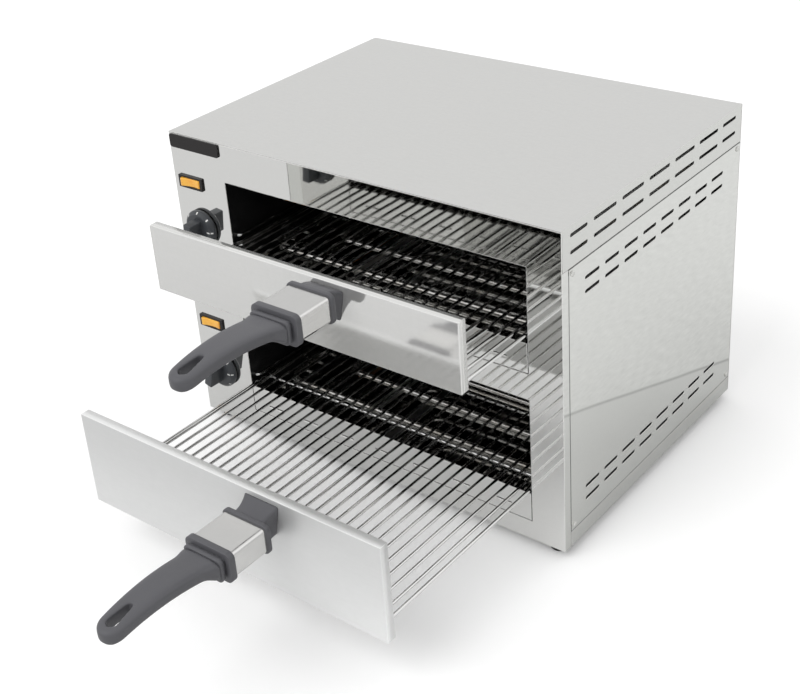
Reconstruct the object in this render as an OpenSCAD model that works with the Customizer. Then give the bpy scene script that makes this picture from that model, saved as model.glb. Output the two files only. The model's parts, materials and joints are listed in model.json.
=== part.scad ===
// Two-deck countertop pizza oven with pull-out wire racks and crumb trays.
// Millimetres, +Z up, front towards -Y, origin on the floor under the middle of the whole outline.

/* [Case] */
// Width of the case across the front
body_w = 460; // [440:1:520]
// Depth of the case from front face to back face
body_d = 330; // [310:1:380]
// Height of the case without its feet
body_h = 327; // [316:1:350]
// Thickness of the stainless sheet
sheet = 1; // [0.8:0.1:1.2]
// Height of the folded skirt on each side of the top cover
skirt_h = 38.8; // [36:0.1:42]
// Width of the front panel's return seen on the side
corner_strip = 10; // [8:1:14]
// Height of the base pan's wall seen on the side
base_strip = 16; // [12:1:19]
// Width of the lips that lie behind the side panels
lap = 18; // [14:1:22]
// Gap left at sheet-metal seams
seam = 0.5; // [0.3:0.1:0.6]
// Diameter of each rubber foot
foot_d = 18; // [14:1:24]
// Height of each rubber foot
foot_h = 10; // [6:1:16]
// Distance of a foot's axis from the case edges
foot_inset = 16; // [14:1:30]

/* [Openings] */
// Width of the control column left of the openings
control_w = 71.6; // [66:0.1:78]
// Width of the rail right of the openings
right_rail = 35.4; // [32:0.1:40]
// Height of the rail below the lower opening
bottom_rail = 20.5; // [18:0.1:24]
// Height of the lower opening
lower_opening_h = 133; // [128:1:136]
// Height of the rail between the openings
mid_rail = 26.6; // [24:0.1:30]
// Height of the upper opening
upper_opening_h = 105.8; // [100:0.1:107]

/* [Vents] */
// Length of the first and last slot in a row of the skirt
skirt_end_l = 27.6; // [20:0.1:32]
// Gap from slot to slot in the skirt
skirt_gap = 10; // [8:0.1:14]
// Distance of the skirt's rows from the case's front and back
skirt_margin = 13.4; // [10:0.1:20]
// Height of the skirt's lower row above the skirt's edge
skirt_rows_rise = 13.9; // [12:0.1:16]
// Distance from row to row in the skirt
skirt_row_pitch = 15.8; // [12:0.1:17]
// Slots in each row of the skirt
skirt_slots = 7; // [5:1:7]
// Length of a slot in a side panel
side_slot_l = 24; // [16:1:27]
// Distance of a side panel's rows from the case's front and back
side_margin = 36.45; // [30:0.05:40]
// Slots in each row of a side panel
side_slots = 8; // [6:1:8]
// Width of every vent slot
slot_w = 3.4; // [2.6:0.1:4.2]
// Distance from row to row in a side panel
row_pitch = 13.5; // [12:0.5:16]
// Distance of the upper rows below the skirt
upper_rows_drop = 19.7; // [19.7:0.1:24]
// Distance of the lower rows above the base strip
lower_rows_rise = 22.5; // [20:0.5:26]

/* [Decks] */
// Thickness of the liner sheet
liner_t = 0.8; // [0.6:0.1:1]
// Step from an opening's edge to the liner's wall
liner_step = 1.5; // [1:0.1:2.5]
// Width of the liner's front flange
liner_flange = 7; // [5:0.5:8]
// Space between liner and back panel
back_space = 9; // [6:0.5:14]
// Diameter of the heater rods
rod_d = 6.5; // [5.5:0.1:8]
// Distance of the front heater rod from the front face
rod_front = 42; // [36:1:48]
// Distance of the last heater rod from the liner's rear
rod_rear = 43; // [38:1:50]
// Inner hairpins stop short by this much
rod_nest = 45; // [40:1:50]
// Bend radius of the hairpins
rod_bend = 18; // [14:0.5:20]
// Distance of the outer hairpin from the left liner wall
rod_clear = 16; // [12:0.5:22]
// Height of the bottom heaters above the opening's edge
rod_rise = 23.5; // [22:0.1:25]
// Distance of the top heaters below the liner's ceiling
rod_drop = 16; // [12:0.5:18]
// Length of rod beyond the right liner wall
rod_tail = 14; // [10:0.5:18]
// Diameter of the ceramic bushes' flange
bush_d = 15; // [12:0.5:18]
// Diameter of the ceramic bushes' neck
bush_neck_d = 10; // [9:0.1:11]
// Thickness of the ceramic bushes' flange
bush_flange = 2.4; // [1.6:0.1:2.5]
// Length of the ceramic bushes' neck outside the wall
bush_neck_l = 8; // [5:0.5:9]
// Thickness of the heater spacer bars
spacer_t = 1.5; // [1:0.1:2]
// Height of the heater spacer bars
spacer_h = 11; // [10:0.5:13]
// Diameter of the hooks under the hairpins
hook_d = 3; // [2.5:0.1:3.5]
// Gap between parts that are fitted together
fit = 0.1; // [0.05:0.01:0.2]

/* [Drawers] */
// Overlap of a drawer front beyond the opening on each side
panel_overlap = 2; // [1:0.1:4]
// Thickness of a drawer front
panel_t = 9.3; // [8:0.1:12]
// Height of the lower drawer front
lower_panel_h = 98; // [90:1:104]
// Height of the upper drawer front
upper_panel_h = 68; // [60:1:72]
// Height of the lower drawer front's bottom above the opening's edge
lower_panel_rise = 16.5; // [14:0.1:20]
// Height of the upper drawer front's bottom above the opening's edge
upper_panel_rise = 33; // [32.5:0.1:35]
// Distance the lower drawer is pulled out
lower_pull = 206.7; // [60:0.1:240]
// Distance the upper drawer is pulled out
upper_pull = 90.7; // [20:0.1:160]
// Height of the lower rack's wires above the opening's edge
lower_rack_rise = 37; // [36.8:0.1:40]
// Height of the upper rack's wires above the opening's edge
upper_rack_rise = 42; // [38:0.1:46]
// Diameter of the rack's straight wires
wire_d = 3; // [2.5:0.1:3.4]
// Diameter of the rack's frame wire and of the runners
frame_d = 3.6; // [3:0.1:4]
// Straight wires in a rack
wire_count = 28; // [20:1:32]
// Distance of the first straight wire from the frame wire
edge_step = 7; // [5:0.5:9]
// Gap between the frame wire and the opening's edge
rack_side_gap = 1.2; // [0.8:0.1:2]
// Distance of a rack's rear from the liner's rear with the drawer shut
rack_rear = 8; // [6:0.5:20]
// Bend radius of the frame wire's rear corners
frame_bend = 12; // [8:0.5:16]
// Distance of the cross wire from the rack's rear
cross_back = 84; // [70:1:96]
// Running gap between rack and runner
run_gap = 0.4; // [0.3:0.1:0.8]
// Distance of the runners' ends behind the front face
runner_start = 8; // [6:0.5:12]

/* [Crumb trays] */
// Height of a tray's front
tray_front_h = 30; // [26:0.5:30]
// Gap around a tray's front
tray_gap = 1; // [0.6:0.1:1.4]
// Height of a tray's walls
tray_wall = 11; // [8:0.5:13]
// Thickness of the tray sheet
tray_t = 0.8; // [0.6:0.1:1]
// Distance of a tray's rear from the liner's rear
tray_rear = 16; // [12:0.5:40]
// Slots in a tray's front
tray_slots = 7; // [5:1:7]
// Distance of the first and last slot from a tray front's ends
tray_margin = 21.25; // [12:0.25:40]
// Length of a slot in a tray's front
tray_slot_l = 20.5; // [16:0.5:24]
// Width of a slot in a tray's front
tray_slot_w = 2.4; // [2:0.1:3]
// Height of the slots above a tray front's bottom
tray_slot_rise = 11; // [8:0.5:14]

/* [Handles] */
// Distance of the lower handle from the middle of its drawer
lower_handle_x = 50.4; // [30:0.1:60]
// Distance of the upper handle from the middle of its drawer
upper_handle_x = 39.8; // [20:0.1:60]
// Depth of the lower handle's axis below its drawer's top
lower_handle_drop = 24; // [20:0.5:40]
// Depth of the upper handle's axis below its drawer's top
upper_handle_drop = 11.4; // [11:0.1:20]
// Width of the steel sleeve
sleeve_w = 47; // [42:0.5:52]
// Height of the steel sleeve
sleeve_h = 25; // [22:0.5:26]
// Length of the steel sleeve
sleeve_l = 41; // [30:0.5:46]
// Corner radius of the steel sleeve
sleeve_r = 4; // [3.5:0.5:7]
// Wall of the steel sleeve
sleeve_wall = 1.2; // [1:0.1:1.6]
// Rim of the plastic flanges around the sleeve
flange_rim = 2; // [1.8:0.1:3.5]
// Thickness of the plastic flanges
flange_t = 4.5; // [4:0.1:6]
// Depth to which the flanges hold the sleeve
sleeve_seat = 2; // [1.5:0.1:3]
// Distance from the drawer front to the sleeve
standoff = 20; // [15:0.5:26]
// Width of the bracket at the drawer front
bracket_w = 40; // [36:0.5:44]
// Gap between the bracket's top and the drawer's top edge
bracket_margin = 5; // [4:0.1:8]
// Height of the bracket where it meets the drawer front
bracket_h = 30; // [26:0.5:36]
// Width of the bracket at its lower end
bracket_foot_w = 25; // [22:0.5:30]
// Width of the groove in the grip's collar
groove_w = 2; // [1.5:0.1:3]
// Depth of the groove in the grip's collar
groove_in = 4; // [3:0.1:5]
// Length of the grip in front of its collar
grip_l = 107; // [95:1:125]
// Width of the grip at its collar
grip_root_w = 36; // [33:0.5:38]
// Width of the grip at its tip
grip_tip_w = 26; // [24:0.5:32]
// Thickness of the grip
grip_t = 12.5; // [11:0.5:15]
// Height of the arch along the grip
grip_arch = 6.5; // [3:0.5:9]
// Rise of the grip's middle above the sleeve's axis
grip_rise = 14.5; // [11:0.5:15.5]
// Diameter of the hanging hole's wide end
hole_d = 10.5; // [9:0.5:14]
// Diameter of the hanging hole's narrow end
hole_small_d = 6; // [5:0.5:8]
// Length of the hanging hole between its end circles
hole_l = 17; // [12:0.5:22]
// Diameter of the handle bolt
bolt_d = 5; // [4:0.1:6]
// Diameter of the handle bolt's head
bolt_head_d = 9; // [8:0.5:11]
// Height of the handle bolt's head
bolt_head_h = 4; // [3:0.1:5]
// Length of bolt held in the grip
bolt_grip = 9; // [7:0.5:10]

/* [Controls] */
// Distance of the knobs' axes from the case's left side
knob_x = 31.6; // [29:0.1:36]
// Height of the lower knob's axis above the lower opening's edge
lower_knob_rise = 39.7; // [36:0.1:44]
// Height of the upper knob's axis above the upper opening's edge
upper_knob_rise = 47.7; // [44:0.1:52]
// Diameter of a knob's skirt
knob_d = 40; // [36:0.5:44]
// Height of a knob's skirt
knob_skirt = 7; // [5:0.5:9]
// Height of a knob's wing above the panel
knob_h = 23; // [20:0.5:26]
// Width of a knob's wing
wing_w = 10.5; // [9.5:0.5:13]
// Length of a knob's wing
wing_l = 23.5; // [18:0.5:28]
// Rounding of a wing's corners
wing_r = 1.2; // [0.8:0.1:2]
// Turn of the lower knob's wing from upright
lower_turn = 15; // [0:1:90]
// Turn of the upper knob's wing from upright
upper_turn = 7; // [0:1:90]
// Gap between a knob and the front panel
knob_gap = 1; // [0.6:0.1:1.5]
// Diameter of a thermostat's shaft
shaft_d = 6; // [5:0.1:7]
// Running clearance of the shaft in its bush
shaft_run = 0.05; // [0.02:0.01:0.1]
// Diameter of a thermostat's bush
boss_d = 9.6; // [9:0.1:11]
// Size of a thermostat's body
stat_size = 34; // [28:1:38]
// Depth of a thermostat's body
stat_depth = 24; // [18:1:30]
// Distance of a sensor's bulb from the knob's axis
bulb_offset = 12; // [10:0.5:14]
// Diameter of a sensor's bulb
bulb_d = 6; // [4:0.5:6.5]
// Length of a sensor's bulb
bulb_l = 80; // [60:1:100]
// Diameter of a sensor's capillary
capillary_d = 2; // [1.6:0.1:3]
// Bend radius of a sensor's capillary
capillary_bend = 6; // [5:0.5:8]
// Distance of a sensor's capillary behind the front face
capillary_y = 172; // [140:1:190]
// Distance of the bulb from the liner's left wall
bulb_clear = 7.5; // [6.5:0.5:9]
// Distance of the switches' middle from the case's left side
switch_x = 23.5; // [20:0.5:40]
// Height of the lower switch above the lower opening's edge
lower_switch_rise = 94; // [86:0.5:104]
// Share of the space between upper knob and corner plate that lies below the upper switch
switch_share = 0.443; // [0.35:0.001:0.6]
// Width of a switch's bezel
bezel_w = 32.8; // [28:0.1:36]
// Height of a switch's bezel
bezel_h = 13.4; // [12:0.1:16]
// Thickness of a switch's bezel
bezel_t = 2; // [1.5:0.1:3]
// Rim of a switch's bezel around its rocker
bezel_rim = 2; // [1.6:0.1:2.4]
// Depth of a switch's body behind the panel
switch_depth = 20; // [16:0.5:26]
// Wall of a switch's body
switch_wall = 1.2; // [1:0.1:1.6]
// Gap around a rocker
rocker_gap = 0.4; // [0.3:0.1:0.6]
// Gap at the ends of a rocker for its swing
rocker_swing = 1.1; // [1:0.1:1.5]
// Height of a rocker's ends above the panel
rocker_out = 4.2; // [3.5:0.1:5]
// Dip in the middle of a rocker
rocker_dip = 1.8; // [1:0.1:2.4]
// Depth of a rocker's pivot behind the front face
pivot_y = 1.5; // [1:0.1:2.5]
// Tilt of a rocker from level
rocker_tilt = 6; // [3:0.5:7]
// Depth of a rocker below its pivot
rocker_root = 4; // [3:0.1:5]
// Width of the bare corner plate
plate_w = 67; // [60:0.5:68]
// Height of the bare corner plate
plate_h = 14; // [10:0.5:15]
// Thickness of the bare corner plate
plate_t = 1.6; // [1:0.1:2.5]
// Corner radius of the bare corner plate
plate_r = 2.5; // [1.5:0.1:4]
// Distance of the bare corner plate from the panel's edges
plate_edge = 1.5; // [1:0.1:3]

/* [Fixings] */
// Diameter of the case screws' shanks
screw_d = 3; // [2.5:0.1:4]
// Diameter of the case screws' heads
screw_head_d = 5.4; // [5:0.1:8]
// Height of the case screws' heads
screw_head_h = 1.8; // [1.4:0.1:2.6]
// Length of the case screws' shanks
screw_l = 8; // [6:0.5:10]
// Distance of the case screws from a panel's edges
screw_inset = 5.5; // [4:0.5:8]
// Diameter of the cable gland's collar
gland_d = 24; // [20:1:30]
// Bore of the cable gland
gland_bore = 9; // [7:0.5:12]
// Length of the cable gland behind the case
gland_out = 12; // [8:0.5:16]
// Thickness of the cable gland's nut
gland_nut = 5; // [4:0.5:6]
// Height of the cable gland's axis
gland_z = 60; // [40:1:80]
// Width of the terminal block
terminal_w = 22; // [18:1:26]
// Length of the terminal block
terminal_l = 48; // [40:1:60]
// Height of the terminal block
terminal_h = 20; // [16:1:26]
// Diameter of the terminal block's screw wells
well_d = 7; // [5:0.5:9]
// Depth of the terminal block's screw wells
well_depth = 9; // [6:0.5:12]

/* [Hidden] */
$fn = 48;
opening_w = body_w - control_w - right_rail;
open_l = -body_w / 2 + control_w;
open_r = open_l + opening_w;
open_c = (open_l + open_r) / 2;
lower_z0 = bottom_rail;
lower_z1 = lower_z0 + lower_opening_h;
upper_z0 = lower_z1 + mid_rail;
upper_z1 = upper_z0 + upper_opening_h;
liner_l = open_l - liner_step;
liner_r = open_r + liner_step;
liner_end = body_d - sheet - back_space;
skirt_z = body_h - skirt_h;
skirt_row_l = body_d - 2 * skirt_margin;
skirt_slot_l = (skirt_row_l - 2 * skirt_end_l - (skirt_slots - 1) * skirt_gap) / (skirt_slots - 2);
side_pitch = (body_d - 2 * side_margin - side_slot_l) / (side_slots - 1);
case_x = body_w / 2;
lip_x = case_x - 2 * sheet;
tongue_z0 = base_strip + lap + seam;
tongue_z1 = skirt_z - lap - seam;
handle_reach = standoff + sleeve_l + 2 * flange_t + groove_w + grip_l;
front_reach = lower_pull + panel_t + handle_reach;
back_reach = body_d + gland_out;
front_y = (front_reach - back_reach) / 2;
panel_w = opening_w + 2 * panel_overlap;
rack_d = liner_end - rack_rear;
tray_d = liner_end - tray_rear;
tray_pitch = (opening_w - 2 * (tray_gap + tray_margin) - tray_slot_l) / (tray_slots - 1);
lower_knob_z = lower_z0 + lower_knob_rise;
upper_knob_z = upper_z0 + upper_knob_rise;
lower_switch_z = lower_z0 + lower_switch_rise;
upper_knob_top = upper_knob_z + knob_d / 2;
plate_bottom = body_h - plate_edge - plate_h;
upper_switch_z = upper_knob_top + switch_share * (plate_bottom - upper_knob_top);
lower_panel_z = lower_z0 + lower_panel_rise;
upper_panel_z = upper_z0 + upper_panel_rise;
lower_rack_z = lower_z0 + lower_rack_rise;
upper_rack_z = upper_z0 + upper_rack_rise;
rack_half = opening_w / 2 - rack_side_gap - frame_d / 2;
frame_drop = (wire_d + frame_d) / 2;
runner_drop = frame_drop + frame_d + run_gap;
runner_lift = (wire_d + frame_d) / 2 + run_gap;
runner_bend = (liner_r - open_c - rack_half + frame_d / 2) / 2;
runner_end = liner_end - runner_start;
wire_pitch = 2 * (rack_half - edge_step) / (wire_count - 1);
lower_handle_z = lower_panel_z + lower_panel_h - lower_handle_drop;
upper_handle_z = upper_panel_z + upper_panel_h - upper_handle_drop;
grip_r = (grip_l * grip_l / 4 + grip_arch * grip_arch) / (2 * grip_arch);
// Step from a tangent inwards, so that a slot's flanks cut its end circles cleanly
flank_tuck = 0.06;
rocker_l = bezel_w - 2 * bezel_rim - 2 * switch_wall - 2 * rocker_swing;
rocker_h = bezel_h - 2 * bezel_rim - 2 * rocker_gap;
hairpins = 3;
rod_last = liner_end - rod_rear;
rod_pitch = (rod_last - rod_front) / (2 * hairpins - 1);
heater_levels = [lower_z0 + rod_rise, lower_z1 + liner_step - rod_drop,
    upper_z0 + rod_rise, upper_z1 + liner_step - rod_drop];
steel_polished = [0.86, 0.86, 0.85];
steel_brushed = [0.78, 0.78, 0.77];
black_liner = [0.06, 0.06, 0.06];
dark_plastic = [0.2, 0.2, 0.21];
amber = [0.95, 0.55, 0.08];
pale_ceramic = [0.88, 0.84, 0.76];

// Case frame: x from the middle, y from the front face, z from the case's underside
module in_case() {
    translate([0, front_y, foot_h]) children();
}

// Sheet outline in X and Z, thickness along +Y
module standing(t) {
    translate([0, t, 0]) rotate([90, 0, 0]) linear_extrude(t) children();
}

// Sheet outline in Y and Z, thickness along +X
module sideways(t) {
    rotate([90, 0, 90]) linear_extrude(t) children();
}

module both_sides() {
    for (s = [0, 1]) {
        mirror([s, 0, 0]) children();
    }
}

module slot_outline(l, w) {
    square([l - w, w], center = true);
    for (s = [-1, 1]) {
        translate([s * (l - w) / 2, 0]) circle(d = w);
    }
}

module rounded(w, h, r) {
    square([w - 2 * r, h], center = true);
    square([w, h - 2 * r], center = true);
    for (x = [-1, 1], z = [-1, 1]) {
        translate([x * (w / 2 - r), z * (h / 2 - r)]) circle(r = r);
    }
}

// Two circles of different size and the straight flanks between them, tip circle at the origin
module tapered_slot(d0, d1, l) {
    lean = asin((d0 - d1) / (2 * l));
    r0 = d0 / 2 - flank_tuck;
    r1 = d1 / 2 - flank_tuck;
    circle(d = d0);
    translate([l, 0]) circle(d = d1);
    polygon([
        [r0 * sin(lean), r0 * cos(lean)],
        [l + r1 * sin(lean), r1 * cos(lean)],
        [l + r1 * sin(lean), -r1 * cos(lean)],
        [r0 * sin(lean), -r0 * cos(lean)]
    ]);
}

module slot_row(count, pitch, l, w) {
    for (i = [0:count - 1]) {
        translate([(i - (count - 1) / 2) * pitch, 0]) slot_outline(l, w);
    }
}

// Row of slots with even gaps, the first and last one of another length
module graded_row(count, l, end_l, gap, w) {
    half = ((count - 2) * l + 2 * end_l + (count - 1) * gap) / 2;
    for (i = [0:count - 3]) {
        translate([end_l + gap + l / 2 + i * (l + gap) - half, 0]) slot_outline(l, w);
    }
    for (s = [-1, 1]) {
        translate([s * (half - end_l / 2), 0]) slot_outline(end_l, w);
    }
}

// Screw positions on a side, as Y and Z
function side_screws() = [for (y = [corner_strip + seam + screw_inset, body_d - sheet - seam - screw_inset],
    z = [base_strip + seam + screw_inset, skirt_z - seam - screw_inset]) [y, z]];

// Screw positions on the back, as X and Z
function back_screws() = [for (x = [-1, 1], z = [tongue_z0 + screw_inset, tongue_z1 - screw_inset])
    [x * (lip_x - lap / 2), z]];

module top_cover() {
    color(steel_brushed) in_case() {
        translate([-case_x, 0, body_h - sheet]) cube([body_w, body_d, sheet]);
        both_sides() {
            translate([case_x - sheet, 0, 0]) sideways(sheet) difference() {
                translate([sheet + seam, skirt_z])
                    square([body_d - 2 * (sheet + seam), skirt_h - sheet / 2]);
                for (i = [0, 1]) {
                    translate([body_d / 2, skirt_z + skirt_rows_rise + i * skirt_row_pitch])
                        graded_row(skirt_slots, skirt_slot_l, skirt_end_l, skirt_gap, slot_w);
                }
            }
            translate([lip_x, corner_strip + seam, skirt_z])
                cube([1.5 * sheet, body_d - corner_strip - sheet - 2 * seam, sheet]);
            translate([lip_x, 0, 0]) sideways(sheet) difference() {
                translate([corner_strip + seam, skirt_z - lap])
                    square([body_d - corner_strip - sheet - 2 * seam, lap + sheet]);
                for (p = side_screws()) {
                    translate(p) circle(d = screw_d + 2 * fit);
                }
            }
        }
    }
}

module front_panel() {
    color(steel_polished) in_case() {
        standing(sheet) difference() {
            translate([-case_x, 0]) square([body_w, body_h - sheet]);
            translate([open_l, lower_z0]) square([opening_w, lower_opening_h]);
            translate([open_l, upper_z0]) square([opening_w, upper_opening_h]);
            for (z = [lower_knob_z, upper_knob_z]) {
                translate([knob_x - case_x, z]) circle(d = boss_d + 2 * fit);
            }
            for (z = [lower_switch_z, upper_switch_z]) {
                translate([switch_x - case_x, z])
                    square([bezel_w - 2 * bezel_rim + 2 * fit, bezel_h - 2 * bezel_rim + 2 * switch_wall
                        + 2 * fit], center = true);
            }
        }
        both_sides() {
            translate([case_x - sheet, sheet / 2, 0])
                cube([sheet, corner_strip - sheet / 2, skirt_z - seam]);
            translate([lip_x, corner_strip - 2 * sheet, tongue_z0])
                cube([sheet, lap + 2 * sheet, tongue_z1 - tongue_z0]);
            translate([lip_x, corner_strip - 2 * sheet, tongue_z0])
                cube([1.5 * sheet, 2 * sheet, tongue_z1 - tongue_z0]);
        }
        translate([-lip_x + seam, sheet / 2, body_h - 2 * sheet])
            cube([2 * (lip_x - seam), lap - sheet / 2, sheet]);
    }
}

module side_panel() {
    translate([case_x - sheet, 0, 0]) sideways(sheet) difference() {
        translate([corner_strip + seam, base_strip + seam])
            square([body_d - corner_strip - sheet - 2 * seam, skirt_z - base_strip - 2 * seam]);
        for (i = [0, 1]) {
            translate([body_d / 2, skirt_z - upper_rows_drop - i * row_pitch])
                slot_row(side_slots, side_pitch, side_slot_l, slot_w);
            translate([body_d / 2, base_strip + lower_rows_rise + i * row_pitch])
                slot_row(side_slots, side_pitch, side_slot_l, slot_w);
        }
        for (p = side_screws()) {
            translate(p) circle(d = screw_d + 2 * fit);
        }
    }
}

module side_panel_left() {
    color(steel_polished) in_case() mirror([1, 0, 0]) side_panel();
}

module side_panel_right() {
    color(steel_polished) in_case() side_panel();
}

module back_panel() {
    color(steel_brushed) in_case() {
        translate([0, body_d - sheet, 0]) standing(sheet) difference() {
            translate([-case_x, 0]) square([body_w, body_h - sheet]);
            translate([knob_x - case_x, gland_z]) circle(d = gland_d / 2 + 2 * fit);
            for (p = back_screws()) {
                translate(p) circle(d = screw_d + 2 * fit);
            }
        }
        both_sides() {
            translate([lip_x, body_d - sheet - lap, tongue_z0])
                cube([sheet, lap + sheet / 2, tongue_z1 - tongue_z0]);
        }
    }
}

module base_pan() {
    color(steel_brushed) in_case() {
        translate([-case_x, corner_strip + seam, 0])
            cube([body_w, body_d - corner_strip - sheet - 2 * seam, sheet]);
        translate([-case_x + sheet + seam, sheet, 0])
            cube([body_w - 2 * (sheet + seam), corner_strip, sheet]);
        both_sides() {
            translate([case_x - sheet, corner_strip + seam, 0])
                cube([sheet, body_d - corner_strip - sheet - 2 * seam, base_strip]);
            translate([lip_x, corner_strip + seam, base_strip - sheet])
                cube([1.5 * sheet, body_d - corner_strip - sheet - 2 * seam, sheet]);
            translate([lip_x, 0, 0]) sideways(sheet) difference() {
                translate([corner_strip + seam, base_strip - sheet])
                    square([body_d - corner_strip - sheet - 2 * seam, lap + sheet]);
                for (p = side_screws()) {
                    translate(p) circle(d = screw_d + 2 * fit);
                }
            }
        }
    }
}

module feet() {
    color(black_liner) for (x = [-1, 1], y = [foot_inset, body_d - foot_inset]) {
        translate([x * (case_x - foot_inset), front_y + y, 0]) rotate_extrude() polygon([
            [0, 0], [foot_d / 2 - sheet, 0], [foot_d / 2, sheet], [foot_d / 2, foot_h], [0, foot_h]
        ]);
    }
}

// Pan head and shank along -X, head seated at x = 0
module screw() {
    rotate([0, 90, 0]) rotate_extrude() polygon([
        [0, -screw_l], [screw_d / 2, -screw_l], [screw_d / 2, 0], [screw_head_d / 2, 0],
        [screw_head_d / 2, screw_head_h / 2], [screw_head_d / 3, screw_head_h], [0, screw_head_h]
    ]);
}

module case_screws() {
    color(steel_polished) in_case() {
        both_sides() for (p = side_screws()) {
            translate([case_x, p[0], p[1]]) screw();
        }
        for (p = back_screws()) {
            translate([p[0], body_d, p[1]]) rotate([0, 0, 90]) screw();
        }
    }
}

// Five-sided liner of one deck with its front flange
module liner(z0, z1, stat_z) {
    top = z1 + liner_step;
    difference() {
        union() {
            translate([liner_l - liner_t, sheet, z0 - liner_t]) cube([liner_r - liner_l + 2 * liner_t,
                liner_end - sheet, top - z0 + 2 * liner_t]);
            translate([liner_l - liner_flange, sheet, z0 - liner_flange]) cube([liner_r - liner_l
                + 2 * liner_flange, liner_t, top - z0 + 2 * liner_flange]);
        }
        translate([liner_l, 0, z0]) cube([liner_r - liner_l, liner_end - liner_t, top - z0]);
        for (level = heater_levels, i = [0:2 * hairpins - 1]) {
            if (level > z0 && level < top) {
                translate([liner_r - liner_t, rod_front + i * rod_pitch, level]) rotate([0, 90, 0])
                    cylinder(d = bush_neck_d + 2 * fit, h = 3 * liner_t);
            }
        }
        translate([liner_l + liner_t, capillary_y, stat_z + bulb_offset]) rotate([0, -90, 0])
            cylinder(d = capillary_d + 2 * rocker_gap, h = 3 * liner_t);
    }
}

module upper_liner() {
    color(black_liner) in_case() liner(upper_z0, upper_z1, upper_knob_z);
}

module lower_liner() {
    color(black_liner) in_case() liner(lower_z0, lower_z1, lower_knob_z);
}

// Quarter bend of round bar around Z, from the -Y side to the -X side
module quarter_bend(d, r) {
    rotate([0, 0, 180]) rotate_extrude(angle = 90) translate([r, 0]) circle(d = d);
}

// Hairpin of round bar, open towards +X, in the plane z = 0
module hairpin(y0, y1, x_left, x_right, d, r) {
    for (y = [y0, y1]) {
        translate([x_left + r, y, 0]) rotate([0, 90, 0]) cylinder(d = d, h = x_right - x_left - r);
    }
    translate([x_left + r, y0 + r, 0]) quarter_bend(d, r);
    translate([x_left + r, y1 - r, 0]) mirror([0, 1, 0]) quarter_bend(d, r);
    translate([x_left, y0 + r, 0]) rotate([-90, 0, 0]) cylinder(d = d, h = y1 - y0 - 2 * r);
}

module heater(level) {
    translate([0, 0, level]) for (i = [0:hairpins - 1]) {
        hairpin(rod_front + i * rod_pitch, rod_last - i * rod_pitch, liner_l + rod_clear + i * rod_nest,
            liner_r + rod_tail, rod_d, rod_bend);
    }
}

module lower_bottom_heater() {
    color(steel_brushed) in_case() heater(heater_levels[0]);
}

module lower_top_heater() {
    color(steel_brushed) in_case() heater(heater_levels[1]);
}

module upper_bottom_heater() {
    color(steel_brushed) in_case() heater(heater_levels[2]);
}

module upper_top_heater() {
    color(steel_brushed) in_case() heater(heater_levels[3]);
}

module heater_bushes() {
    color(pale_ceramic) in_case() for (level = heater_levels, i = [0:2 * hairpins - 1]) {
        translate([liner_r, rod_front + i * rod_pitch, level]) rotate([0, 90, 0]) rotate_extrude() polygon([
            [rod_d / 2 + fit, -bush_flange], [bush_d / 2, -bush_flange], [bush_d / 2, 0],
            [bush_neck_d / 2, 0], [bush_neck_d / 2, liner_t + bush_neck_l],
            [rod_d / 2 + fit, liner_t + bush_neck_l]
        ]);
    }
}

// A drilled bar across all rods of each level, and two hooks on the left wall under the outer hairpin
module heater_supports() {
    bar_x = open_c - rod_nest;
    color(steel_polished) in_case() for (level = heater_levels) {
        translate([bar_x, 0, level]) sideways(spacer_t) difference() {
            translate([rod_front - spacer_h, -spacer_h / 2])
                square([rod_last - rod_front + 2 * spacer_h, spacer_h]);
            for (i = [0:2 * hairpins - 1]) {
                translate([rod_front + i * rod_pitch, 0]) circle(d = rod_d + 2 * fit);
            }
        }
        for (y = [rod_front + rod_pitch, rod_last - rod_pitch]) {
            translate([liner_l, y, level - (rod_d + hook_d) / 2 - fit]) {
                rotate([0, 90, 0]) cylinder(d = hook_d, h = rod_clear + rod_d);
            }
        }
    }
}

// Wire runners on one side, below and above the rack's frame wire, with both ends bent into the liner
module runner(rack_z) {
    for (z = [rack_z - runner_drop, rack_z + runner_lift]) {
        translate([0, 0, z])
            hairpin(runner_start, runner_end, rack_half, liner_r - open_c, frame_d, runner_bend);
    }
}

module runners(rack_z) {
    in_case() translate([open_c, 0, 0]) both_sides() runner(rack_z);
}

module upper_runners() {
    color(steel_polished) runners(upper_rack_z);
}

module lower_runners() {
    color(steel_polished) runners(lower_rack_z);
}

// Thermostat behind the front panel with its bush in the panel's hole
module thermostat(z) {
    translate([knob_x - case_x, 0, z]) difference() {
        union() {
            translate([-stat_size / 2, sheet, -stat_size / 2]) cube([stat_size, stat_depth, stat_size]);
            rotate([-90, 0, 0]) cylinder(d = boss_d, h = sheet + stat_depth / 2);
        }
        translate([0, -sheet, 0]) rotate([-90, 0, 0])
            cylinder(d = shaft_d + 2 * shaft_run, h = stat_depth);
    }
}

module upper_thermostat() {
    color(dark_plastic) in_case() thermostat(upper_knob_z);
}

module lower_thermostat() {
    color(dark_plastic) in_case() thermostat(lower_knob_z);
}

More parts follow.
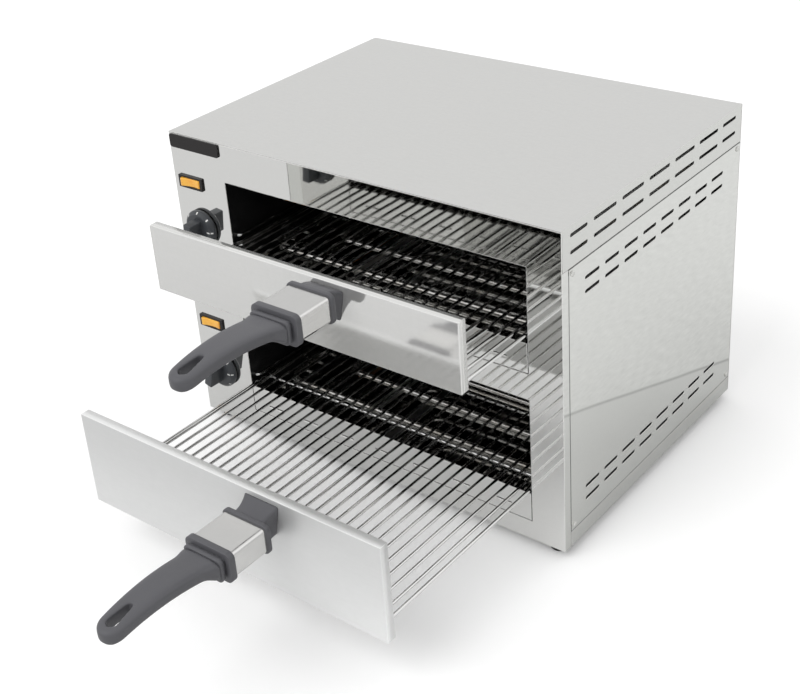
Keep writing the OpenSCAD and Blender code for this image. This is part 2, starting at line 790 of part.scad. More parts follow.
// Capillary from the thermostat's back through the liner's wall, ending in a bulb beside that wall
module sensor(z) {
    stat_end = sheet + stat_depth;
    x0 = knob_x - case_x;
    bulb_x = liner_l + bulb_clear;
    turn_y = capillary_y - capillary_bend;
    translate([0, 0, z + bulb_offset]) {
        translate([x0, stat_end, 0]) rotate([-90, 0, 0]) cylinder(d = capillary_d, h = turn_y - stat_end);
        translate([x0 + capillary_bend, turn_y, 0]) mirror([0, 1, 0])
            quarter_bend(capillary_d, capillary_bend);
        translate([x0 + capillary_bend, capillary_y, 0]) rotate([0, 90, 0])
            cylinder(d = capillary_d, h = bulb_x - x0 - 2 * capillary_bend);
        translate([bulb_x - capillary_bend, capillary_y + capillary_bend, 0]) mirror([1, 0, 0])
            quarter_bend(capillary_d, capillary_bend);
        translate([bulb_x, capillary_y + capillary_bend, 0]) rotate([-90, 0, 0])
            cylinder(d = bulb_d, h = bulb_l);
    }
}

module upper_sensor() {
    color([0.72, 0.45, 0.28]) in_case() sensor(upper_knob_z);
}

module lower_sensor() {
    color([0.72, 0.45, 0.28]) in_case() sensor(lower_knob_z);
}

// Bezel on the panel and open body through it
module switch_housing(z) {
    well_w = bezel_w - 2 * bezel_rim - 2 * switch_wall;
    well_h = bezel_h - 2 * bezel_rim;
    translate([switch_x - case_x, 0, z]) difference() {
        union() {
            translate([0, -bezel_t, 0]) standing(bezel_t) rounded(bezel_w, bezel_h, bezel_rim / 2);
            translate([0, -fit, 0]) standing(switch_depth) square([bezel_w - 2 * bezel_rim,
                well_h + 2 * switch_wall], center = true);
        }
        translate([0, -2 * bezel_t, 0]) standing(2 * bezel_t + switch_depth - 2 * switch_wall)
            square([well_w, well_h], center = true);
    }
}

module upper_switch() {
    color(black_liner) in_case() switch_housing(upper_switch_z);
}

module lower_switch() {
    color(black_liner) in_case() switch_housing(lower_switch_z);
}

module corner_plate() {
    color(black_liner) in_case()
        translate([plate_edge + plate_w / 2 - case_x, -plate_t, body_h - plate_edge - plate_h / 2])
            standing(plate_t) rounded(plate_w, plate_h, plate_r);
}

module terminal_block() {
    color(pale_ceramic) in_case() translate([knob_x - case_x, body_d - lap - terminal_l, sheet])
        difference() {
            translate([-terminal_w / 2, 0, 0]) cube([terminal_w, terminal_l, terminal_h]);
            for (i = [-1, 0, 1]) {
                translate([0, terminal_l / 2 + i * terminal_l / 3.5, terminal_h - well_depth])
                    cylinder(d = well_d, h = well_depth + sheet);
            }
        }
}

// Collar outside the back panel, threaded neck through it and hexagonal nut inside
module cable_gland() {
    neck = gland_d / 2;
    color(black_liner) in_case() translate([knob_x - case_x, body_d, gland_z]) rotate([-90, 0, 0])
        difference() {
            union() {
                cylinder(d = gland_d, h = gland_out / 2);
                cylinder(d1 = gland_d - gland_nut, d2 = neck + gland_nut / 2, h = gland_out);
                translate([0, 0, -sheet - gland_nut]) cylinder(d = neck, h = sheet + gland_nut);
                translate([0, 0, -sheet - gland_nut]) cylinder(d = gland_d, h = gland_nut, $fn = 6);
            }
            translate([0, 0, -gland_d]) cylinder(d = gland_bore, h = 2 * gland_d);
        }
}

// Round skirt with a raised wing bar in its middle
module knob(z, turn) {
    translate([knob_x - case_x, -knob_gap, z]) difference() {
        union() {
            rotate([90, 0, 0]) rotate_extrude() polygon([
                [0, 0], [knob_d / 2, 0], [knob_d / 2, knob_skirt / 2],
                [knob_d / 2 - knob_skirt / 2, knob_skirt], [0, knob_skirt]
            ]);
            rotate([0, turn, 0]) translate([0, -knob_h, 0]) standing(knob_h - knob_skirt / 2)
                rounded(wing_w, wing_l, wing_r);
        }
        translate([0, sheet, 0]) rotate([90, 0, 0]) cylinder(d = shaft_d + 2 * fit, h = knob_h / 2 + sheet);
    }
}

module upper_knob() {
    color(dark_plastic) in_case() knob(upper_knob_z, upper_turn);
}

module lower_knob() {
    color(dark_plastic) in_case() knob(lower_knob_z, lower_turn);
}

module shaft(z) {
    translate([knob_x - case_x, -knob_gap - knob_h / 2 + fit, z]) rotate([-90, 0, 0])
        cylinder(d = shaft_d, h = knob_gap + knob_h / 2 + stat_depth / 2);
}

module upper_shaft() {
    color(steel_brushed) in_case() shaft(upper_knob_z);
}

module lower_shaft() {
    color(steel_brushed) in_case() shaft(lower_knob_z);
}

// Rocker with a dipped face, tilted about its upright pivot
module rocker(z) {
    half = rocker_l / 2;
    translate([switch_x - case_x, pivot_y, z]) rotate([0, 0, rocker_tilt])
        translate([0, -pivot_y, -rocker_h / 2]) linear_extrude(rocker_h) polygon([
            [-half, -rocker_out], [0, rocker_dip - rocker_out], [half, -rocker_out], [half, 0],
            [half / 3, rocker_root], [-half / 3, rocker_root], [-half, 0]
        ]);
}

module upper_rocker() {
    color(amber) in_case() rocker(upper_switch_z);
}

module lower_rocker() {
    color(amber) in_case() rocker(lower_switch_z);
}

// Low tray on the liner's floor with a slotted front in the opening
module tray(z0) {
    front_w = opening_w - 2 * tray_gap;
    bed_w = front_w - 2 * liner_step;
    translate([open_c, 0, z0]) {
        standing(sheet) difference() {
            translate([-front_w / 2, tray_gap]) square([front_w, tray_front_h]);
            translate([0, tray_gap + tray_slot_rise])
                slot_row(tray_slots, tray_pitch, tray_slot_l, tray_slot_w);
        }
        difference() {
            translate([-bed_w / 2, sheet / 2, seam]) cube([bed_w, tray_d - sheet / 2, tray_wall]);
            translate([-bed_w / 2 + tray_t, sheet, seam + tray_t])
                cube([bed_w - 2 * tray_t, tray_d - sheet - tray_t, tray_wall]);
        }
    }
}

module upper_tray() {
    color(steel_polished) in_case() tray(upper_z0);
}

module lower_tray() {
    color(steel_polished) in_case() tray(lower_z0);
}

// Frame of a drawer: x from the opening's middle, y from the back of the drawer front
module in_drawer(pull) {
    in_case() translate([open_c, -pull, 0]) children();
}

// Hollow front pan, open at the back, with a hole for the handle's bolt
module drawer_front(z0, h, handle_x, handle_z) {
    difference() {
        translate([-panel_w / 2, -panel_t, z0]) cube([panel_w, panel_t, h]);
        translate([-panel_w / 2 + sheet, sheet - panel_t, z0 + sheet])
            cube([panel_w - 2 * sheet, panel_t, h - 2 * sheet]);
        translate([handle_x, -panel_t, handle_z]) rotate([90, 0, 0])
            cylinder(d = bolt_d + 2 * fit, h = 3 * sheet, center = true);
    }
}

module drawer_back(z0, h) {
    translate([-panel_w / 2 + sheet + fit, -sheet, z0 + sheet + fit])
        cube([panel_w - 2 * (sheet + fit), sheet, h - 2 * (sheet + fit)]);
}

// Bent frame wire, one cross wire and straight wires lying on both, welded to the drawer's back plate
module rack(z) {
    translate([0, 0, z - frame_drop]) {
        for (s = [-1, 1]) {
            translate([s * rack_half, 0, 0]) rotate([-90, 0, 0])
                cylinder(d = frame_d, h = rack_d - frame_bend);
        }
        translate([-rack_half + frame_bend, rack_d - frame_bend, 0]) mirror([0, 1, 0])
            quarter_bend(frame_d, frame_bend);
        translate([rack_half - frame_bend, rack_d - frame_bend, 0]) mirror([1, 0, 0]) mirror([0, 1, 0])
            quarter_bend(frame_d, frame_bend);
        translate([-rack_half + frame_bend, rack_d, 0]) rotate([0, 90, 0])
            cylinder(d = frame_d, h = 2 * (rack_half - frame_bend));
        translate([-rack_half + frame_d / 2 + fit, rack_d - cross_back, 0]) rotate([0, 90, 0])
            cylinder(d = frame_d, h = 2 * rack_half - frame_d - 2 * fit);
    }
    for (i = [0:wire_count - 1]) {
        translate([(i - (wire_count - 1) / 2) * wire_pitch, 0, z + shaft_run]) rotate([-90, 0, 0])
            cylinder(d = wire_d, h = rack_d);
    }
}

// Frame of a handle: origin on the drawer front at the sleeve's axis, -Y outwards
module at_handle(pull, handle_x, handle_z) {
    in_drawer(pull) translate([handle_x, -panel_t, handle_z]) children();
}

// Flange around the sleeve's back end and the flared pedestal that carries it
module bracket(drop) {
    up = drop - bracket_margin;
    low = min(up - bracket_h, -sleeve_h / 2);
    neck = standoff - flange_t + sleeve_seat;
    difference() {
        union() {
            translate([0, -standoff - sleeve_seat, 0]) standing(flange_t)
                rounded(sleeve_w + 2 * flange_rim, sleeve_h + 2 * flange_rim, sleeve_r + flange_rim);
            intersection() {
                translate([-bracket_w / 2, 0, 0]) sideways(bracket_w) polygon([
                    [0, up - bracket_h], [0, up], [-neck / 3, sleeve_h / 2 + (up - sleeve_h / 2) / 3],
                    [-neck, sleeve_h / 2], [-neck - sheet, sleeve_h / 2], [-neck - sheet, -sleeve_h / 2],
                    [-neck, -sleeve_h / 2]
                ]);
                translate([0, 0, up - 2 * bracket_h]) linear_extrude(3 * bracket_h) polygon([
                    [-bracket_w / 2, 0], [bracket_w / 2, 0], [bracket_w / 2 - neck / 4, -neck / 2],
                    [bracket_w / 2 - neck / 4, -standoff], [neck / 4 - bracket_w / 2, -standoff],
                    [neck / 4 - bracket_w / 2, -neck / 2]
                ]);
                translate([0, -standoff, 0]) standing(standoff) polygon([
                    [-bracket_w / 2, max(up, sleeve_h / 2)], [bracket_w / 2, max(up, sleeve_h / 2)],
                    [bracket_foot_w / 2, low], [-bracket_foot_w / 2, low]
                ]);
            }
        }
        translate([0, -standoff - 2 * sleeve_seat, 0]) standing(2 * sleeve_seat)
            rounded(sleeve_w + 2 * fit, sleeve_h + 2 * fit, sleeve_r + fit);
        translate([0, sheet, 0]) rotate([90, 0, 0]) cylinder(d = bolt_d + 2 * fit, h = 2 * standoff);
    }
}

module sleeve() {
    translate([0, -standoff - sleeve_l, 0]) standing(sleeve_l) difference() {
        rounded(sleeve_w, sleeve_h, sleeve_r);
        rounded(sleeve_w - 2 * sleeve_wall, sleeve_h - 2 * sleeve_wall, sleeve_r - sleeve_wall);
    }
}

// Grooved collar on the sleeve's front end and an arched, tapering grip with a hanging hole
module grip() {
    collar_y = -standoff - sleeve_l;
    root_y = collar_y - 2 * flange_t - groove_w;
    tip_y = root_y - grip_l;
    groove_r = sleeve_r - sleeve_wall;
    difference() {
        union() {
            translate([0, collar_y - flange_t, 0]) standing(flange_t + sleeve_seat)
                rounded(sleeve_w + 2 * flange_rim, sleeve_h + 2 * flange_rim, sleeve_r + flange_rim);
            translate([0, collar_y - flange_t - groove_w, 0]) standing(flange_t)
                rounded(sleeve_w - groove_in, sleeve_h - groove_in, groove_r);
            translate([0, root_y, 0]) standing(flange_t) rounded(sleeve_w, sleeve_h, sleeve_r);
            intersection() {
                translate([0, tip_y + grip_tip_w / 2, -grip_r]) rotate([0, 0, 90])
                    linear_extrude(2 * grip_r)
                        tapered_slot(grip_tip_w, grip_root_w, grip_l - grip_tip_w / 2);
                translate([-sleeve_w / 2, (root_y + tip_y) / 2, grip_rise - grip_r])
                    sideways(sleeve_w) difference() {
                        circle(r = grip_r, $fn = 180);
                        circle(r = grip_r - grip_t, $fn = 180);
                    }
                translate([-sleeve_w, tip_y - flange_t, -sleeve_h])
                    cube([2 * sleeve_w, grip_l + 1.5 * flange_t, 3 * sleeve_h]);
            }
        }
        translate([0, collar_y, 0]) standing(2 * sleeve_seat)
            rounded(sleeve_w + 2 * fit, sleeve_h + 2 * fit, sleeve_r + fit);
        translate([0, tip_y + grip_tip_w / 2, -grip_r]) rotate([0, 0, 90]) linear_extrude(2 * grip_r)
            tapered_slot(hole_d, hole_small_d, hole_l);
        translate([0, collar_y - bolt_grip, 0]) rotate([-90, 0, 0])
            cylinder(d = bolt_d + 2 * fit, h = 2 * bolt_grip);
    }
}

// Bolt from inside the drawer front through bracket and sleeve into the grip
module bolt() {
    inner = sheet + fit;
    translate([0, inner, 0]) rotate([-90, 0, 0]) cylinder(d = bolt_head_d, h = bolt_head_h);
    translate([0, fit - standoff - sleeve_l - bolt_grip, 0]) rotate([-90, 0, 0])
        cylinder(d = bolt_d, h = standoff + sleeve_l + bolt_grip + inner);
}

module upper_drawer_front() {
    color(steel_polished) in_drawer(upper_pull)
        drawer_front(upper_panel_z, upper_panel_h, upper_handle_x, upper_handle_z);
}

module upper_drawer_back() {
    color(steel_polished) in_drawer(upper_pull) drawer_back(upper_panel_z, upper_panel_h);
}

module upper_rack() {
    color(steel_polished) in_drawer(upper_pull) rack(upper_rack_z);
}

module upper_bracket() {
    color(dark_plastic) at_handle(upper_pull, upper_handle_x, upper_handle_z) bracket(upper_handle_drop);
}

module upper_sleeve() {
    color(steel_brushed) at_handle(upper_pull, upper_handle_x, upper_handle_z) sleeve();
}

module upper_grip() {
    color(dark_plastic) at_handle(upper_pull, upper_handle_x, upper_handle_z) grip();
}

module upper_bolt() {
    color(steel_brushed) at_handle(upper_pull, upper_handle_x, upper_handle_z) bolt();
}

module lower_drawer_front() {
    color(steel_polished) in_drawer(lower_pull)
        drawer_front(lower_panel_z, lower_panel_h, lower_handle_x, lower_handle_z);
}

module lower_drawer_back() {
    color(steel_polished) in_drawer(lower_pull) drawer_back(lower_panel_z, lower_panel_h);
}

module lower_rack() {
    color(steel_polished) in_drawer(lower_pull) rack(lower_rack_z);
}

module lower_bracket() {
    color(dark_plastic) at_handle(lower_pull, lower_handle_x, lower_handle_z) bracket(lower_handle_drop);
}

module lower_sleeve() {
    color(steel_brushed) at_handle(lower_pull, lower_handle_x, lower_handle_z) sleeve();
}

module lower_grip() {
    color(dark_plastic) at_handle(lower_pull, lower_handle_x, lower_handle_z) grip();
}

module lower_bolt() {
    color(steel_brushed) at_handle(lower_pull, lower_handle_x, lower_handle_z) bolt();
}

top_cover();
front_panel();
side_panel_left();
side_panel_right();
back_panel();
base_pan();
feet();
case_screws();
upper_liner();
lower_liner();
upper_top_heater();
upper_bottom_heater();
lower_top_heater();
lower_bottom_heater();
heater_bushes();
heater_supports();
upper_runners();
lower_runners();
upper_thermostat();
lower_thermostat();
upper_sensor();
lower_sensor();
upper_switch();
lower_switch();
corner_plate();
terminal_block();
cable_gland();
upper_knob();
lower_knob();
upper_shaft();
lower_shaft();
upper_rocker();
lower_rocker();
upper_tray();
lower_tray();
upper_drawer_front();
upper_drawer_back();
upper_rack();
upper_bracket();
upper_sleeve();
upper_grip();
upper_bolt();
lower_drawer_front();
lower_drawer_back();
lower_rack();
lower_bracket();
lower_sleeve();
lower_grip();
lower_bolt();
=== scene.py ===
import json
import math

import bmesh
import bpy
from mathutils import Matrix, Vector


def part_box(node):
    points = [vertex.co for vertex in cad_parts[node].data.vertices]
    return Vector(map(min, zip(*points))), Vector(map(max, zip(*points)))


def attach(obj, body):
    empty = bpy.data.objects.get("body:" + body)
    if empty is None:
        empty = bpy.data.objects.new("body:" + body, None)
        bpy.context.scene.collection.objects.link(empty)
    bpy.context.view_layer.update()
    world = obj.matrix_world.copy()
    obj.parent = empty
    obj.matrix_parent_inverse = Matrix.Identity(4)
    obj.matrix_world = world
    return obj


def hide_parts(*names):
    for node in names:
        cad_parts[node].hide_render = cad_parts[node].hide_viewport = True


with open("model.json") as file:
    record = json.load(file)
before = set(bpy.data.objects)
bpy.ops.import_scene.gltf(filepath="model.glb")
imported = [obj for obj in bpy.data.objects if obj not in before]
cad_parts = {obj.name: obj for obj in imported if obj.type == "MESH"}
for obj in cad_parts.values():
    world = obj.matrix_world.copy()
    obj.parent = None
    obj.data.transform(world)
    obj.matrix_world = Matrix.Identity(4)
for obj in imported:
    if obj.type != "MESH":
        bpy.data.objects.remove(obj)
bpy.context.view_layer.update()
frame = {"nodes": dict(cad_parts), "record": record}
nodes = frame["nodes"]
mm = 0.001
weld_gap = 0.002 * mm


# Shader building blocks

def make_group(name, inputs, outputs):
    """Empty shader group with named sockets, and its two end nodes."""
    group = bpy.data.node_groups.new(name, "ShaderNodeTree")
    for label, kind, value in inputs:
        socket = group.interface.new_socket(name=label, in_out="INPUT", socket_type="NodeSocket" + kind)
        socket.default_value = value
    for label, kind in outputs:
        group.interface.new_socket(name=label, in_out="OUTPUT", socket_type="NodeSocket" + kind)
    return group, group.nodes.new("NodeGroupInput"), group.nodes.new("NodeGroupOutput")


def add(tree, kind, **settings):
    made = tree.nodes.new("ShaderNode" + kind)
    for key, value in settings.items():
        setattr(made, key, value)
    return made


def feed(tree, socket, value):
    """Set a socket to a number or link it to another socket."""
    if isinstance(value, (int, float)):
        socket.default_value = value
    else:
        tree.links.new(value, socket)


def math_node(tree, operation, a, b):
    made = add(tree, "Math", operation=operation)
    for socket, value in zip(made.inputs, (a, b)):
        feed(tree, socket, value)
    return made.outputs[0]


def noise(tree, vector, scale, detail=4.0, roughness=0.55):
    made = add(tree, "TexNoise")
    for label, value in (("Vector", vector), ("Scale", scale), ("Detail", detail), ("Roughness", roughness)):
        feed(tree, made.inputs[label], value)
    return made.outputs["Fac"]


def set_values(node, **values):
    """Plain values for a node's inputs, named with underscores for spaces."""
    for key, value in values.items():
        node.inputs[key.replace("_", " ")].default_value = value


def object_coords(tree):
    return add(tree, "TexCoord").outputs["Object"]


def tinted(tree, colour, factor):
    """Colour multiplied by a number."""
    made = add(tree, "VectorMath", operation="SCALE")
    tree.links.new(colour, made.inputs[0])
    tree.links.new(factor, made.inputs["Scale"])
    return made.outputs[0]


def mottle_group():
    """Soft patches in colour and gloss."""
    group, come, go = make_group(
        "mottle",
        [("Colour", "Color", (0.5, 0.5, 0.5, 1)), ("Roughness", "Float", 0.4), ("Scale", "Float", 60.0),
         ("Amount", "Float", 0.1), ("Gloss Change", "Float", 0.1)],
        [("Colour", "Color"), ("Roughness", "Float")])
    patch = noise(group, object_coords(group), come.outputs["Scale"], 5.0, 0.6)
    swing = math_node(group, "SUBTRACT", patch, 0.5)
    shade = math_node(group, "ADD", math_node(group, "MULTIPLY", swing, come.outputs["Amount"]), 1.0)
    gloss = math_node(group, "MULTIPLY", swing, come.outputs["Gloss Change"])
    group.links.new(tinted(group, come.outputs["Colour"], shade), go.inputs["Colour"])
    group.links.new(math_node(group, "ADD", come.outputs["Roughness"], gloss), go.inputs["Roughness"])
    return group


def brush_group():
    """Fine lines of a brushed sheet along the axis that is stretched least."""
    group, come, go = make_group(
        "brush_lines",
        [("Colour", "Color", (0.5, 0.5, 0.5, 1)), ("Roughness", "Float", 0.3),
         ("Stretch", "Vector", (30.0, 3000.0, 3000.0)), ("Amount", "Float", 0.1)],
        [("Colour", "Color"), ("Roughness", "Float"), ("Height", "Float")])
    stretched = add(group, "VectorMath", operation="MULTIPLY")
    group.links.new(object_coords(group), stretched.inputs[0])
    group.links.new(come.outputs["Stretch"], stretched.inputs[1])
    line = noise(group, stretched.outputs[0], 1.0, 3.0, 0.6)
    swing = math_node(group, "MULTIPLY", math_node(group, "SUBTRACT", line, 0.5), come.outputs["Amount"])
    shade = math_node(group, "ADD", swing, 1.0)
    group.links.new(tinted(group, come.outputs["Colour"], shade), go.inputs["Colour"])
    group.links.new(math_node(group, "ADD", come.outputs["Roughness"], swing), go.inputs["Roughness"])
    group.links.new(line, go.inputs["Height"])
    return group


def edge_group():
    """Edges rubbed lighter and glossier, in broken stretches."""
    patch_scale, least_wear, strength, gloss_gain = 220.0, 0.35, 4.0, -0.12
    group, come, go = make_group(
        "worn_edges",
        [("Colour", "Color", (0.5, 0.5, 0.5, 1)), ("Roughness", "Float", 0.4),
         ("Edge Colour", "Color", (0.7, 0.7, 0.7, 1)), ("Radius", "Float", 0.6 * mm),
         ("Amount", "Float", 0.5)],
        [("Colour", "Color"), ("Roughness", "Float")])
    rounded = add(group, "Bevel", samples=4)
    group.links.new(come.outputs["Radius"], rounded.inputs["Radius"])
    surface = add(group, "NewGeometry")
    dot = add(group, "VectorMath", operation="DOT_PRODUCT")
    group.links.new(rounded.outputs[0], dot.inputs[0])
    group.links.new(surface.outputs["Normal"], dot.inputs[1])
    turn = math_node(group, "SUBTRACT", 1.0, dot.outputs["Value"])
    broken = math_node(group, "ADD", noise(group, object_coords(group), patch_scale, 4.0, 0.6), least_wear)
    mask = math_node(group, "MULTIPLY", math_node(group, "MULTIPLY", turn, broken), come.outputs["Amount"])
    limited = math_node(group, "MINIMUM", math_node(group, "MULTIPLY", mask, strength), 1.0)
    mixed = add(group, "Mix", data_type="RGBA")
    group.links.new(limited, mixed.inputs["Factor"])
    group.links.new(come.outputs["Colour"], mixed.inputs["A"])
    group.links.new(come.outputs["Edge Colour"], mixed.inputs["B"])
    group.links.new(mixed.outputs["Result"], go.inputs["Colour"])
    gloss = math_node(group, "MULTIPLY", limited, gloss_gain)
    group.links.new(math_node(group, "ADD", come.outputs["Roughness"], gloss), go.inputs["Roughness"])
    return group


def grain_group():
    """Fine grain of a surface."""
    group, come, go = make_group("fine_grain", [("Scale", "Float", 1500.0)], [("Height", "Float")])
    group.links.new(noise(group, object_coords(group), come.outputs["Scale"], 2.0, 0.5), go.inputs["Height"])
    return group


def tone_group():
    """Cloudy change from one colour to another."""
    group, come, go = make_group(
        "cloudy_tones",
        [("Scale", "Float", 50.0), ("Detail", "Float", 2.0), ("Grain", "Float", 0.5), ("Low", "Float", 0.3),
         ("High", "Float", 0.7), ("First Tone", "Color", (0.5, 0.5, 0.5, 1)),
         ("Last Tone", "Color", (0.8, 0.8, 0.8, 1))],
        [("Tone", "Color")])
    detail, grain = come.outputs["Detail"], come.outputs["Grain"]
    cloud = noise(group, object_coords(group), come.outputs["Scale"], detail, grain)
    share = add(group, "MapRange")
    group.links.new(cloud, share.inputs["Value"])
    group.links.new(come.outputs["Low"], share.inputs["From Min"])
    group.links.new(come.outputs["High"], share.inputs["From Max"])
    mixed = add(group, "Mix", data_type="RGBA")
    group.links.new(share.outputs[0], mixed.inputs["Factor"])
    group.links.new(come.outputs["First Tone"], mixed.inputs["A"])
    group.links.new(come.outputs["Last Tone"], mixed.inputs["B"])
    group.links.new(mixed.outputs["Result"], go.inputs["Tone"])
    return group


def wave_group():
    """Slow waves of a thin polished sheet."""
    group, come, go = make_group("sheet_wave", [("Scale", "Float", 7.0)], [("Height", "Float")])
    group.links.new(noise(group, object_coords(group), come.outputs["Scale"], 1.0, 0.4), go.inputs["Height"])
    return group


def fold_group():
    """Normals that round the folds of a sheet."""
    group, come, go = make_group("rounded_folds", [("Radius", "Float", mm)], [("Normal", "Vector")])
    rounded = add(group, "Bevel", samples=6)
    group.links.new(come.outputs["Radius"], rounded.inputs["Radius"])
    group.links.new(rounded.outputs["Normal"], go.inputs["Normal"])
    return group


mottle = mottle_group()
brush_lines = brush_group()
worn_edges = edge_group()
fine_grain = grain_group()
cloudy_tones = tone_group()
sheet_wave = wave_group()
rounded_folds = fold_group()


class Finish:
    """A material under construction: colour and roughness pass through the effects one after another."""

    def __init__(self, name, colour, roughness, metallic=0.0):
        self.material = bpy.data.materials.new(name)
        self.material.use_nodes = True
        self.material.diffuse_color = (*colour, 1)
        self.tree = self.material.node_tree
        self.shader = self.tree.nodes["Principled BSDF"]
        self.shader.inputs["Base Color"].default_value = (*colour, 1)
        self.shader.inputs["Roughness"].default_value = roughness
        self.shader.inputs["Metallic"].default_value = metallic
        self.colour = None
        self.roughness = None
        self.first = (colour, roughness)

    def effect(self, group, **values):
        """Place a group with its own values, and pass colour and roughness through it where it takes them."""
        made = add(self.tree, "Group", node_tree=group)
        set_values(made, **values)
        if "Colour" in made.inputs:
            if self.colour is None:
                made.inputs["Colour"].default_value = (*self.first[0], 1)
                made.inputs["Roughness"].default_value = self.first[1]
            else:
                self.tree.links.new(self.colour, made.inputs["Colour"])
                self.tree.links.new(self.roughness, made.inputs["Roughness"])
            self.colour = made.outputs["Colour"]
            self.roughness = made.outputs["Roughness"]
        return made

    def bump(self, height, distance, edge_radius=0.0, lean=0.0):
        """Fine relief over shader-rounded edges; lean tips a face's mirror image, in degrees about X."""
        made = add(self.tree, "Bump")
        made.inputs["Distance"].default_value = distance
        self.tree.links.new(height, made.inputs["Height"])
        if edge_radius:
            normal = self.effect(rounded_folds, Radius=edge_radius)
            if lean:
                tipped = add(self.tree, "VectorRotate", rotation_type="X_AXIS")
                tipped.inputs["Angle"].default_value = math.radians(lean)
                self.tree.links.new(normal.outputs["Normal"], tipped.inputs["Vector"])
                normal = tipped
            self.tree.links.new(normal.outputs[0], made.inputs["Normal"])
        self.tree.links.new(made.outputs["Normal"], self.shader.inputs["Normal"])

    def done(self):
        if self.colour is not None:
            self.tree.links.new(self.colour, self.shader.inputs["Base Color"])
            self.tree.links.new(self.roughness, self.shader.inputs["Roughness"])
        return self.material


def polished_steel():
    f = Finish("polished_steel", (0.80, 0.80, 0.785), 0.03, 1.0)
    f.effect(brush_lines, Stretch=(9.0, 700.0, 700.0), Amount=0.02)
    f.effect(mottle, Scale=260.0, Amount=0.05, Gloss_Change=0.01)
    wave = f.effect(sheet_wave, Scale=7.0)
    f.bump(wave.outputs["Height"], distance=0.4 * mm, edge_radius=1.1 * mm)
    return f.done()


def seamed_side():
    """Polished side sheet with painted shade along its seams to the cover, the base and the front corner."""
    low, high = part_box("side_panel_right")
    cover_seam, base_seam, corner_seam, seam_shade = 0.9 * mm, 0.7 * mm, 0.5 * mm, 0.8
    f = Finish("seamed_side", (0.80, 0.80, 0.785), 0.035, 1.0)
    f.effect(brush_lines, Stretch=(700.0, 9.0, 700.0), Amount=0.03)
    f.effect(mottle, Scale=260.0, Amount=0.05, Gloss_Change=0.01)
    spot = add(f.tree, "SeparateXYZ")
    f.tree.links.new(object_coords(f.tree), spot.inputs[0])
    y, z = spot.outputs["Y"], spot.outputs["Z"]
    # painted shade: bands along the seams are darkened to stand for the shadow in the gaps
    seams = (math_node(f.tree, "GREATER_THAN", z, high.z - cover_seam),
             math_node(f.tree, "LESS_THAN", z, low.z + base_seam),
             math_node(f.tree, "LESS_THAN", y, low.y + corner_seam))
    seam = math_node(f.tree, "MAXIMUM", math_node(f.tree, "MAXIMUM", seams[0], seams[1]), seams[2])
    shade = math_node(f.tree, "SUBTRACT", 1.0, math_node(f.tree, "MULTIPLY", seam, seam_shade))
    f.colour = tinted(f.tree, f.colour, shade)
    wave = f.effect(sheet_wave, Scale=7.0)
    f.bump(wave.outputs["Height"], distance=0.4 * mm, edge_radius=0.8 * mm)
    return f.done()


def satin_steel():
    f = Finish("satin_steel", (0.76, 0.76, 0.745), 0.34, 1.0)
    lines = f.effect(brush_lines, Stretch=(60.0, 700.0, 700.0), Amount=0.09)
    f.effect(mottle, Scale=240.0, Amount=0.08, Gloss_Change=0.06)
    f.bump(lines.outputs["Height"], distance=0.03 * mm, edge_radius=0.6 * mm)
    return f.done()


def mirror_front():
    """Upper drawer's polished sheet, whose mirror image leans."""
    f = Finish("mirror_front", (0.80, 0.80, 0.785), 0.09, 0.7)
    f.effect(brush_lines, Stretch=(9.0, 700.0, 700.0), Amount=0.05)
    f.effect(mottle, Scale=220.0, Amount=0.07, Gloss_Change=0.04)
    wave = f.effect(sheet_wave, Scale=9.0)
    f.bump(wave.outputs["Height"], distance=0.4 * mm, edge_radius=0.7 * mm, lean=6.4)
    return f.done()


def hazy_front_painted_light():
    """Lower drawer's hazy sheet with painted reflection and light: paler towards its lower edge and on its
    upward faces.
    """
    pale_below, painted_shade_top, painted_shade_share, upward = 30 * mm, 150 * mm, 0.8, 0.5
    f = Finish("hazy_front_painted_light", (0.95, 0.955, 0.95), 0.46, 0.7)
    lines = f.effect(brush_lines, Stretch=(60.0, 700.0, 700.0), Amount=0.05)
    f.effect(mottle, Scale=120.0, Amount=0.05, Gloss_Change=0.06)
    spot = add(f.tree, "SeparateXYZ")
    f.tree.links.new(object_coords(f.tree), spot.inputs[0])
    # painted reflection: the colour darkens from the sheet's lower part up towards its top
    shade = add(f.tree, "MapRange", interpolation_type="SMOOTHSTEP")
    set_values(shade, From_Min=pale_below, From_Max=painted_shade_top, To_Min=1.0, To_Max=painted_shade_share)
    f.tree.links.new(spot.outputs["Z"], shade.inputs["Value"])
    # painted light: faces turned upwards keep the full pale colour
    facing = add(f.tree, "SeparateXYZ")
    f.tree.links.new(add(f.tree, "NewGeometry").outputs["Normal"], facing.inputs[0])
    top = math_node(f.tree, "GREATER_THAN", facing.outputs["Z"], upward)
    f.colour = tinted(f.tree, f.colour, math_node(f.tree, "MAXIMUM", shade.outputs[0], top))
    f.bump(lines.outputs["Height"], distance=0.03 * mm, edge_radius=0.7 * mm)
    return f.done()


def brushed_sleeve():
    f = Finish("brushed_sleeve", (0.66, 0.655, 0.645), 0.2, 1.0)
    lines = f.effect(brush_lines, Stretch=(2600.0, 40.0, 2600.0), Amount=0.22)
    f.effect(mottle, Scale=70.0, Amount=0.05, Gloss_Change=0.06)
    f.bump(lines.outputs["Height"], distance=0.04 * mm)
    return f.done()


def bright_wire():
    f = Finish("bright_wire", (0.74, 0.74, 0.735), 0.10, 1.0)
    f.effect(mottle, Scale=140.0, Amount=0.10, Gloss_Change=0.12)
    grain = f.effect(fine_grain, Scale=900.0)
    f.bump(grain.outputs["Height"], distance=0.03 * mm)
    return f.done()


def screw_steel():
    f = Finish("screw_steel", (0.70, 0.70, 0.68), 0.28, 1.0)
    f.effect(mottle, Scale=400.0, Amount=0.15, Gloss_Change=0.15)
    f.effect(worn_edges, Edge_Colour=(0.85, 0.85, 0.84, 1), Radius=0.4 * mm, Amount=0.6)
    return f.done()


